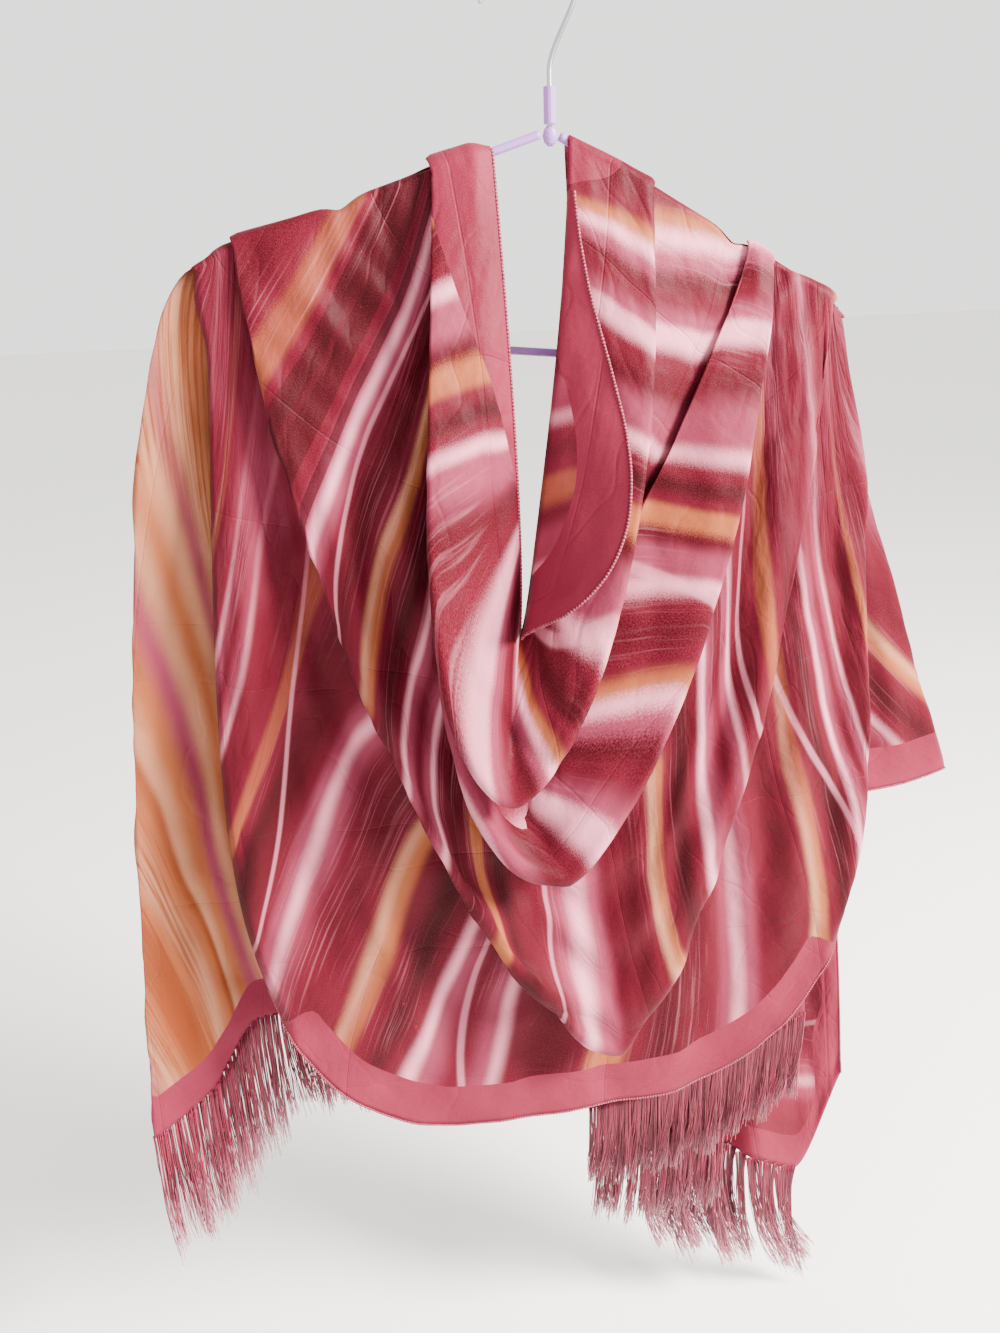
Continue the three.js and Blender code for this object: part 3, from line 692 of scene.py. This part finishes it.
def relief(n, uv, u, v, grain):
    """The height of fine creases, and of the lines that the folded cloth was pressed in."""
    soft = n.noise(uv, 34, 34, 3.0, 0.55)
    ridged = n.mask(n.math("ABSOLUTE", n.less_half(n.noise(uv, 13, 13, 1.5))), 0.0, 0.02, "LINEAR")
    height = n.math("MULTIPLY_ADD", soft, 2.6, n.times(grain, 0.16))
    height = n.math("MULTIPLY_ADD", ridged, 0.30, height)
    for axis, step, start in ((u, 0.21, 0.07), (v, 0.118, 0.03)):
        fold = n.math("FRACT", n.math("DIVIDE", n.math("ADD", axis, start + 10 * step), step))
        fold = n.times(n.math("ABSOLUTE", n.less_half(fold)), step)
        fold = n.ramp(n.times(fold, 100.0), [(0.0, BLACK), (0.12, (0.6, 0.6, 0.6, 1)), (0.5, WHITE)])
        height = n.math("MULTIPLY_ADD", fold, 0.55, height)
    return height


def thread(name, dark, light, stitched=False):
    """Thread, in stitches or in loose strands."""
    n = Nodes(name)
    uv, along, _ = n.uv("Thread")
    if stitched:
        tone = n.add("ShaderNodeTexWave", {"Vector": uv, "Scale": 150.0, "Distortion": 1.5},
                     wave_type="BANDS", bands_direction="X").outputs["Fac"]
    else:
        place = n.add("ShaderNodeTexCoord", {}).outputs["Object"]
        tone = n.noise(place, 420, 420, 3.0, 0.6, z=14)
    colour = n.mix(n.mask(tone, 0.32, 0.70, "LINEAR"), dark, light)
    if not stitched:
        # the loose ends catch the light
        loose = n.mask(n.times(along, 8.0), 0.40, 1.0)
        colour = n.mix(n.times(loose, 0.55), colour, COLOURS["white"])
    return n.finished(n.principled({"Base Color": colour, "Roughness": 0.38, "Sheen Weight": 0.12,
                                    "Normal": n.bump(tone, 0.6, 0.0004)}))


def coated(name, colour, rough, metal=0.0):
    """A coated or plated wire, with patches that are duller and darker."""
    n = Nodes(name)
    place = n.add("ShaderNodeTexCoord", {}).outputs["Object"]
    patches = n.noise(place, 60, 60, 4.0, 0.6, z=60)
    shade = n.mix(n.times(patches, 0.35), colour, tuple(c * 0.72 for c in colour[:3]) + (1.0,))
    dull = n.math("MULTIPLY_ADD", patches, 0.18, rough - 0.08)
    normal = n.bump(n.noise(place, 700, 700, z=700), 0.25, 0.0002)
    return n.finished(n.principled({"Base Color": shade, "Roughness": dull, "Normal": normal,
                                    "Metallic": metal}))


NECK_PRINT = {"stripes": "neck", "repeat": 0.27, "across": -0.32, "offset": 0.30}
FRONT_PRINT = {"stripes": "front", "repeat": 0.44}
END_PRINT = {"stripes": "end", "repeat": 0.19, "along": -0.36, "across": 1.0, "offset": 0.1, "ground": 0.4}
MIDDLE_BARS = [(-0.500, -0.478), (-0.470, -0.440), (-0.425, -0.412)]
# Each cloth is its right side and its wrong side.
NECK_CLOTH = [cloth("printed_crepe_neck", ground=0.35, **NECK_PRINT),
              cloth("printed_crepe_neck_wrong_side", wrong=True, **NECK_PRINT)]
FRONT_CLOTH = [cloth("printed_crepe", **FRONT_PRINT),
               cloth("printed_crepe_wrong_side", wrong=True, **FRONT_PRINT)]
MIDDLE_CLOTH = [cloth("printed_crepe_barred", offset=0.45, bars=MIDDLE_BARS, **FRONT_PRINT), FRONT_CLOTH[1]]
END_CLOTH = [cloth("printed_crepe_end", **END_PRINT),
             cloth("printed_crepe_end_wrong_side", wrong=True, **END_PRINT)]
FLARE_CLOTH = [cloth("printed_crepe_flare", "front", 0.30, 0.22, 1.0, 0.35), FRONT_CLOTH[1]]
THREAD = thread("fringe_thread", srgb(80, 4, 22), srgb(164, 48, 78))
STITCH = thread("overlock_thread", srgb(96, 16, 32), srgb(172, 70, 92), stitched=True)
LAVENDER = coated("lavender_coating", srgb(168, 122, 190), 0.42)
STEEL = coated("plated_steel", srgb(190, 190, 194), 0.28, 1.0)


# ---- the pieces of the front drape ----
lines, marks, seams = drape_lines()
U, V = cloth_uv(lines, middle=HALF)
SIDE = np.where(IS_LEFT, -1.0, 1.0)
REACH = np.abs(np.where(IS_LEFT, U[:, :1], U[:, -1:]))
TO_ENDS = np.minimum(np.arange(COLUMNS), COLUMNS - 1 - np.arange(COLUMNS))
ENDS = smooth(TO_ENDS / 14.0)  # 0 on the arms, 1 below them
# The printed border turns out of sight up both sides: how far the bands run over it.
NECK_OVER = np.where(IS_LEFT, -10 + 46 * ramp(DOWN, 0.06, 0.80), 40 * ramp(DOWN, 0.04, 0.16))
HEM_OUT = ramp(lines[-1][:, 2], -704, -664)
EDGE = np.minimum(V + NECK_OVER, V[-1] - V + 46 * HEM_OUT)
# Near the neck the bands keep to the slope of the arms, lower down they fan out from the low point.
KEEP = 1 - ramp(DOWN, 0.50, 0.98)
U_NECK = U + SIDE * KEEP * (300.0 - REACH) * np.where(IS_LEFT, 1.0, 0.75)


def printed(piece, node):
    """A sheet of the scarf, which rides on the body in place of its node."""
    hold(piece, node)


def gathers(grid, u, v, seed, reach, height, pitch):
    """Small pleats that run down from the arms and die away."""
    dist = TO_ENDS * np.median(np.linalg.norm(np.diff(grid, axis=1), axis=2)[:, ARCH:])
    fade = smooth((TO_ENDS - ARCH * 0.3) / 7.0) * np.exp(-(dist / reach) ** 1.3)
    phase = 2 * math.pi * v / pitch + 1.5 * noise(u, v, seed, 110.0)
    size = 0.6 + 0.4 * noise(u * 0.2, v, seed + 3, 80.0)
    return grid + normals(grid) * (height * fade * size * np.sin(phase))[..., None]


def swags(grid, u, v, seed, height, pitch, low):
    """Soft folds that hang from side to side, deepest in the middle."""
    phase = 2 * math.pi * v / pitch + 0.9 * noise(u, v, seed, 260.0)
    return grid + normals(grid) * (height * ramp(DOWN, low, 1.0) * np.sin(phase))[..., None]


def fold_sides(grid):
    """The front panel's sides: both are folds of the cloth."""
    to_hem = np.arange(len(grid))[::-1, None] * PITCH
    # the last rows turn back, up to where the hem comes out
    turned = HEM_OUT * smooth((14 - to_hem) / 14) * ENDS
    grid[..., 1] += 9.0 * turned ** 1.6
    # the wire's ends push them outward
    near = bell(grid[..., 2], np.where(IS_LEFT, -184, -222), 24) * bell(to_hem, 0, 20)
    grid[..., 0] += np.where(IS_LEFT, 7.5, 4.5) * near * SIDE
    # and the right side swells below the shoulder
    swell = bell(grid[..., 2], -310, 75) * bell(to_hem, 0, 30)
    grid[..., 0] += 12.0 * swell * ENDS * ~IS_LEFT


def drape_piece(name, first, last, seed, flat, size, pleats, folds, creases, materials):
    """A stretch of the drape's lines, with its small folds; returns its grid."""
    part = slice(first, last + 1)
    grid, u, v = lines[part].copy(), U[part], V[part]
    is_front = name == "front_panel"
    rows = np.arange(len(grid))
    small = noise(u * 0.8, v * 0.6, seed, 85.0) * 1.1 + noise(u, v * 0.7, seed + 1, 34.0) * 0.35
    whole = grid + normals(grid) * (small * size * ENDS)[..., None]
    whole = gathers(whole, u, v, seed + 5, *pleats)
    if folds:
        whole = swags(whole, u, v, seed + 9, *folds)
    if is_front:
        # its rows crowd together over the wire's end, so it is smooth there
        whole = grid + (whole - grid) * (1 - ramp(grid[..., 2], -430, -250))[..., None]
    for path, width, depth in creases:
        whole = crease(whole, path, width, depth)
    # the folds die away toward the rows that meet a neighbour
    inward = smooth((rows if is_front else np.minimum(rows, rows[::-1])) / 4.0)
    grid = grid + (whole - grid) * inward[:, None, None]
    if is_front:
        fold_sides(grid)
    # drawn in by half the seam's gap
    grid[0] += unit(grid[1] - grid[0]) * GAP / 2
    grid[-1] += unit(grid[-2] - grid[-1]) * GAP / 2
    high = ramp(grid[..., 2], -470, -250)
    plain = {"front_panel": 0.9 * high, "middle_cowl": 0.55 * high * ~IS_LEFT}.get(name)
    shown = U_NECK[part] if materials is NECK_CLOTH else u
    printed(shell(name + "_cloth", grid, shown, v, EDGE[part], materials, plain), name)
    return grid


# Creases placed one by one: a path as (x, z), its half width, and how deep (a ridge is negative).
NECK_CREASES = [
    ([(-20, -398), (-10, -432), (8, -452), (30, -440), (44, -410)], 5.0, 2.2),
    ([(-52, -418), (-40, -450), (-14, -470), (16, -462), (36, -440)], 4.5, 2.6),
    ([(-66, -350), (-52, -405), (-30, -440), (-8, -452)], 6.0, -2.2),
    ([(-24, -300), (-30, -352), (-44, -400), (-62, -436)], 7.0, -1.4),
    ([(30, -262), (36, -320), (28, -372), (4, -412)], 7.0, -1.8),
    ([(-64, -214), (-46, -262), (-40, -320)], 5.0, 1.0),
    ([(12, -410), (-2, -436), (-30, -446)], 3.5, 1.6),
]
INNER_CREASES = [
    ([(62, -262), (66, -330), (62, -400), (46, -460)], 7.0, 1.8),
    ([(112, -240), (102, -320), (88, -392), (60, -462), (20, -510)], 8.0, -1.8),
    ([(74, -300), (92, -296), (116, -300)], 6.0, 0.9),
    ([(10, -512), (42, -488), (66, -450), (80, -404)], 5.0, 1.8),
    ([(-30, -505), (6, -520), (40, -505), (72, -462)], 6.0, -1.5),
]
MIDDLE_CREASES = [
    ([(-132, -168), (-112, -192), (-84, -228)], 5.0, 0.9),
    ([(-120, -158), (-98, -184), (-70, -214)], 6.5, -2.6),
    ([(-144, -180), (-124, -206), (-96, -240)], 6.5, -2.0),
    ([(-112, -240), (-112, -320), (-96, -410), (-70, -480), (-40, -548)], 10.0, 2.6),
    ([(-92, -250), (-90, -330), (-74, -420), (-46, -496)], 9.0, -2.6),
    ([(-140, -240), (-132, -330), (-116, -420), (-84, -520)], 9.0, -4.4),
    ([(-172, -196), (-158, -262), (-148, -322)], 8.0, -2.6),
    ([(-60, -360), (-58, -430), (-40, -500), (-6, -560)], 9.0, 2.2),
    ([(-86, -520), (-52, -590), (-12, -650), (24, -690)], 9.0, -4.2),
    ([(-60, -505), (-30, -580), (4, -640), (34, -676)], 8.0, 2.2),
    ([(136, -230), (140, -320), (130, -410), (104, -510), (66, -610)], 11.0, 2.8),
    ([(156, -240), (156, -340), (142, -440), (112, -540), (74, -640)], 10.0, -4.2),
    ([(118, -420), (98, -500), (68, -590), (44, -660)], 8.0, -3.6),
    ([(44, -640), (38, -680), (44, -712)], 6.0, 2.2),
    ([(20, -560), (30, -620), (36, -676)], 8.0, 1.8),
]
FRONT_CREASES = [
    ([(-168, -250), (-162, -320), (-152, -390), (-128, -480), (-92, -570)], 15.0, 9.5),
    ([(-186, -230), (-192, -330), (-198, -430), (-206, -540), (-206, -640)], 12.0, -4.6),
    ([(-172, -300), (-176, -400), (-178, -500), (-170, -600), (-150, -690)], 11.0, 5.0),
    ([(-140, -520), (-128, -600), (-110, -680), (-96, -752)], 11.0, -4.6),
    ([(-104, -570), (-88, -650), (-74, -740), (-70, -775)], 10.0, 4.6),
    ([(-40, -690), (-36, -740), (-34, -785)], 10.0, -2.4),
    ([(30, -735), (36, -760), (40, -788)], 9.0, 2.2),
    ([(96, -660), (96, -710), (98, -775)], 11.0, -2.6),
    ([(128, -560), (134, -650), (138, -745)], 11.0, 5.0),
    ([(168, -300), (180, -420), (184, -540), (176, -660), (168, -720)], 12.0, -4.6),
    ([(196, -300), (210, -420), (216, -540), (206, -650)], 10.0, 4.4),
    ([(150, -500), (160, -600), (158, -690)], 9.0, 2.4),
]
# From the neck outward: name, seed, flat size, how uneven it is, gathers (how far down, height, pitch),
# swags (height, pitch, from where), creases and cloth.
FRONT_PIECES = [
    ("neckline", 11, (0.075, 0.88), 0.6, (55, 0.8, 21), None, NECK_CREASES, NECK_CLOTH),
    ("inner_cowl", 23, (0.094, 1.00), 0.5, (60, 0.8, 19), (1.0, 30, 0.7), INNER_CREASES, NECK_CLOTH),
    ("middle_cowl", 37, (0.119, 1.24), 1.1, (105, 2.6, 27), (2.6, 56, 0.5), MIDDLE_CREASES, MIDDLE_CLOTH),
    ("front_panel", 41, (0.099, 1.50), 1.3, (75, 1.5, 21), None, FRONT_CREASES, FRONT_CLOTH),
]
cuts = [0] + [seams[row] for row in ("fall_tuck", "strip_back", "middle_tuck")] + [len(lines) - 1]
for first, last, (name, *rest) in zip(cuts, cuts[1:], FRONT_PIECES):
    front_grid = drape_piece(name, first, last, *rest)


# ---- the lapel ----
def lapel():
    """The neckline's edge turned outward: its grid, and u and v on it."""
    right = slice(HALF, COLUMNS - ARCH)
    first = round(LAPEL["top"] * BRANCH)
    edge = lines[0][right][::-1][first:]
    toward = lines[marks["throat"]][right][::-1][first:] - edge
    toward[:, 2] *= 0.2
    toward = unit(toward)
    down = np.linspace(LAPEL["top"], 1, len(edge))
    width = 1.5 + LAPEL["width"] * np.sin(math.pi * down ** 1.9) ** 1.2
    rows = []
    for t in np.arange(LAPEL["steps"] + 1) / LAPEL["steps"]:
        p = edge + toward * (width * t)[:, None]
        p[:, 1] -= LAPEL["near"] + (LAPEL["far"] - LAPEL["near"]) * math.sqrt(t)
        rows.append(p)
    grid = np.array(rows)
    u, v = cloth_uv(grid)
    uneven = 0.7 * noise(-u, v, 77, 44.0) * ramp(v, 0, 14)
    return grid + normals(grid) * uneven[..., None], -u, v


lapel_grid, lapel_u, lapel_v = lapel()
lapel_edge = lapel_v.max(axis=0) - lapel_v + 8 * ramp(lapel_grid[..., 2], -330, -250) - 8
lapel_piece = shell("lapel_cloth", lapel_grid, lapel_u, lapel_v, lapel_edge, NECK_CLOTH[::-1])
printed(lapel_piece, "lapel")


# ---- the ends behind the arms ----
def curtain_piece(name, rows, side, seed, materials, creases=(), over=None):
    """A stretch of an end, its border along the short edge and, with over, down the long edge too."""
    grid, names = curtain_grid(rows, side)
    u, v = cloth_uv(grid)
    edge = u[:, -1:] - u
    to_long = v[-1:, :] - v
    if over:
        edge = np.minimum(edge, to_long + over(grid[..., 2]))
    place = np.arange(grid.shape[1])
    hanging = smooth((place - ARCH) / 16.0) * smooth(place[::-1] / 3.0)
    small = noise(u * 0.35, v, seed, 70.0) * 1.2 + noise(u * 0.7, v, seed + 1, 30.0) * 0.35
    grid = grid + normals(grid) * (small * hanging)[..., None]
    for path, width, depth in creases:
        grid = crease(grid, path, width, depth)
    printed(shell(name + "_cloth", grid, u, to_long, edge, materials), name)
    return grid, names


LEFT_CREASES = [
    ([(-205, -210), (-232, -330), (-250, -450), (-262, -560)], 8.0, -2.4),
    ([(-214, -260), (-246, -400), (-272, -540), (-290, -680)], 7.0, 2.2),
    ([(-222, -420), (-238, -540), (-262, -660), (-284, -760)], 9.0, 2.4),
    ([(-218, -560), (-240, -660), (-256, -740)], 9.0, -2.2),
]
FLARE_CREASES = [
    ([(214, -300), (236, -380), (262, -470), (284, -545)], 8.0, -2.2),
    ([(218, -360), (228, -440), (240, -540)], 7.0, 2.0),
]
# The bands run over the left end's long border, but not near its corner.
left_grid, left_names = curtain_piece("back_left", BACK_LEFT, -1, 51, END_CLOTH,
                                      LEFT_CREASES, lambda z: 50 * ramp(z, -770, -700))
upper_grid, _ = curtain_piece("back_right", BACK_RIGHT, 1, 61, FRONT_CLOTH)
tier_grid, _ = curtain_piece("tier_middle", TIER_MIDDLE, 1, 71, FRONT_CLOTH)
# The right end shows its wrong side, and its long border widens toward the corner.
end_grid, end_names = curtain_piece("right_end", RIGHT_END, 1, 81, FRONT_CLOTH[::-1],
                                    over=lambda z: -26 * ramp(-z, 770, 815))
flare_grid, _ = curtain_piece("side_flare", SIDE_FLARE, 1, 91, FLARE_CLOTH, FLARE_CREASES)


# ---- overlocked edges ----
def overlock(name, path):
    """Stitches over an edge, as a beaded tube."""
    steps = int(length_of(path) / OVERLOCK["step"])
    turns = np.arange(steps + 1) * 2 * math.pi * OVERLOCK["step"] / OVERLOCK["stitch"]
    beads = OVERLOCK["half"] * (0.82 + 0.18 * np.sin(turns))
    hold(tubes(name, [evenly(path, steps)], [beads], 6, STITCH))


overlock("neckline_edging", lines[0][4:HALF + 1])
overlock("lapel_edging", lapel_grid[-1])
overlock("hem_edging", front_grid[-1][front_grid[-1][:, 2] < -650])
overlock("left_long_edging", left_grid[-1][left_grid[-1][:, 2] < -690])
overlock("right_long_edging", end_grid[-1][8:])
overlock("flare_edging", flare_grid[:, -1])


# ---- fringe ----
def fringe(name, node, edge, bundles, strands, length, lean, seed, curl=1.0, spaced=0.0, trim=None):
    """Bundles of silky threads under an edge, which draw together and open again."""
    rng = np.random.default_rng(seed)
    top = edge + np.array([0, 0, FRINGE_TOP])
    places = evenly(top, bundles * 2)[1::2]
    spread = length_of(top) / bundles
    t = np.linspace(0, 1, 13)
    paths, radii = [], []
    for root in places:
        sway = rng.normal(0, 3.2) * curl
        depth = rng.normal(0, 2.5)
        drop = length * rng.uniform(0.88, 1.06)
        if trim:
            drop *= trim(root[0])
        hook = lean * rng.uniform(0.5, 1.3)
        for _ in range(strands):
            side = rng.uniform(-0.62, 0.62)
            pinch = (1 - spaced * smooth(t / 0.25)) * (1 - 0.18 * bell(t, 0.12, 0.10))
            open_out = 1 + 0.5 * t ** 2 * rng.uniform(0, 1)
            wave = rng.uniform(0.3, 1.5) * curl
            phase = rng.uniform(0, 6.28)
            turns = rng.uniform(0.8, 1.7)
            own = drop * rng.uniform(0.80, 1.04)
            stray = rng.normal(0, 2.2) * (rng.uniform() > 0.7)
            turning = 2 * math.pi * t * turns + phase
            path = np.stack([
                root[0] + side * spread * pinch * open_out + sway * t ** 1.5
                + hook * t ** 2.4 + stray * t ** 2 + wave * np.sin(turning) * t,
                root[1] + rng.uniform(-0.5, 0.5) + depth * t + wave * np.cos(turning) * t,
                root[2] - own * t], 1)
            paths.append(path)
            radii.append(0.50 - 0.22 * t)
    hold(tubes(name, paths, radii, 3, THREAD), node)


fringe("fringe_left_threads", "fringe_left", left_grid[:left_names["corner"] + 1, -1],
       bundles=84, strands=20, length=128, lean=4, seed=5, trim=lambda x: 1.0 - 0.25 * ramp(x, -225, -190))
fringe("fringe_upper_threads", "fringe_right_upper", upper_grid[:, -1],
       bundles=46, strands=20, length=84, lean=-3, seed=6)
fringe("fringe_middle_threads", "fringe_right_middle", tier_grid[:, -1],
       bundles=30, strands=20, length=98, lean=-4, seed=7)
fringe("fringe_lower_threads", "fringe_right_lower", end_grid[:end_names["corner"] + 1, -1],
       bundles=20, strands=38, length=132, lean=24, seed=8, curl=1.6, spaced=0.45)


# ---- the hanger ----
def wire(name, node, points, radius, material, covered=None):
    """A wire of one radius, and a little thinner from where the cloth covers it, if that is given."""
    points = np.array(points)
    length = length_of(points)
    points = evenly(points, int(length / WIRE_STEP))
    radii = np.interp(np.linspace(0, length, len(points)), [32, 44], [radius, covered or radius])
    piece = tubes(name, [points], [radii], 20, material)
    hold(piece, node)


def hook_path():
    """Up out of the sleeve, in a soft turn to the start of the round, and round it."""
    ring = HOOK["inner"] + HOOK["wire"]
    stem = [(NECK[0], z) for z in np.arange(SLEEVE_BOTTOM, HOOK["stem_top"], 2.0)]
    angles = [math.radians(a) for a in range(HOOK["from"], HOOK["to"] + 1, 3)]
    arc = [(ring * math.cos(a), -HOOK["inner"] + ring * math.sin(a)) for a in angles]
    upward = np.array([0, HOOK["turn"]])
    into_arc = np.array([-math.sin(angles[0]), math.cos(angles[0])]) * HOOK["turn"]
    turn = [cubic(np.array(stem[-1]), upward, np.array(arc[0]), into_arc, i / 16) for i in range(1, 16)]
    return [(x, 0.0, z) for x, z in stem + turn + arc]


wire("hook_wire", "hook", hook_path(), HOOK["wire"], STEEL)
# the arms bend round at their ends to meet the bar
wire_end = ARM["straight"] + ARM["bend"] * math.radians(180 - ARM["droop"])
ends = []
for label, side in (("left", -1), ("right", 1)):
    ends.append(arm_point(side, wire_end, NOTCH["depth"]))
    path = [arm_point(side, a, NOTCH["depth"]) for a in np.arange(ARM["from"], wire_end, 1.5)] + [ends[-1]]
    wire(f"arm_{label}_wire", f"arm_{label}", path, ARM["wire"], LAVENDER, ARM["wire"] - 0.4)
inset = unit(ends[1] - ends[0]) * GAP
wire("bar_wire", "bar", [ends[0] + inset, ends[1] - inset], ARM["wire"], LAVENDER)
for node in ("neck_sleeve", "neck_boss"):
    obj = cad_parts[node]
    if obj.material_slots:
        obj.material_slots[0].material = LAVENDER
    else:
        obj.data.materials.append(LAVENDER)


# ---- stage, light and camera ----
FLOOR = {"half": 14000.0, "z": -1100.0}
pale = Nodes("pale_floor")
pale_floor = pale.finished(pale.principled({"Base Color": (0.92, 0.91, 0.89, 1), "Roughness": 0.9}))
far, low = FLOOR["half"], FLOOR["z"]
corners = np.array([(-far, -far, low), (far, -far, low), (far, far, low), (-far, far, low)])
floor = made("floor", corners, [(0, 1, 2, 3)], {}, [pale_floor])

world = bpy.data.worlds.new("pale")
world.use_nodes = True
world.node_tree.nodes["Background"].inputs[0].default_value = (0.97, 0.965, 0.95, 1)
world.node_tree.nodes["Background"].inputs[1].default_value = 1.4
bpy.context.scene.world = world
bpy.context.scene.view_settings.look = "AgX - Medium High Contrast"


def area(name, place, size, watts, colour):
    """A round soft light, aimed at the scarf's middle."""
    light = bpy.data.lights.new(name, "AREA")
    light.shape = "DISK"
    light.size = size
    light.energy = watts
    light.color = colour
    obj = bpy.data.objects.new(name, light)
    obj.location = place
    obj.rotation_euler = (Vector((0, 0, -0.5)) - Vector(place)).to_track_quat("-Z", "Y").to_euler()
    bpy.context.collection.objects.link(obj)


area("key", (1.7, -1.1, 0.75), 0.8, 200, (1.0, 0.975, 0.94))
area("fill", (-1.6, -1.6, 0.2), 1.6, 4, (0.93, 0.96, 1.0))

# The place in metres, the angles in degrees, the focal length in heights of the image, the sensor in mm.
CAMERA = {"place": (-0.148, -0.690, -0.171), "heading": 9.8, "pitch": -20.6, "roll": 2.0,
          "focal": 1090 / 1333, "sensor": 24.0}


def aim():
    """The camera, turned by its heading, then its pitch, then its roll."""
    a, p, r = (math.radians(CAMERA[key]) for key in ("heading", "pitch", "roll"))
    forward = np.array([math.cos(p) * math.sin(a), math.cos(p) * math.cos(a), math.sin(p)])
    right = np.array([math.cos(a), -math.sin(a), 0.0])
    up = np.cross(right, forward)
    rolled_right = math.cos(r) * right - math.sin(r) * up
    rolled_up = math.sin(r) * right + math.cos(r) * up
    data = bpy.data.cameras.new("camera")
    data.sensor_fit = "VERTICAL"
    data.sensor_height = CAMERA["sensor"]
    data.lens = CAMERA["focal"] * CAMERA["sensor"]
    data.clip_start = 0.01
    obj = bpy.data.objects.new("camera", data)
    columns = np.stack([rolled_right, rolled_up, -forward, CAMERA["place"]], 1)
    obj.matrix_world = Matrix([*columns.tolist(), [0, 0, 0, 1]])
    bpy.context.collection.objects.link(obj)
    bpy.context.scene.camera = obj


aim()
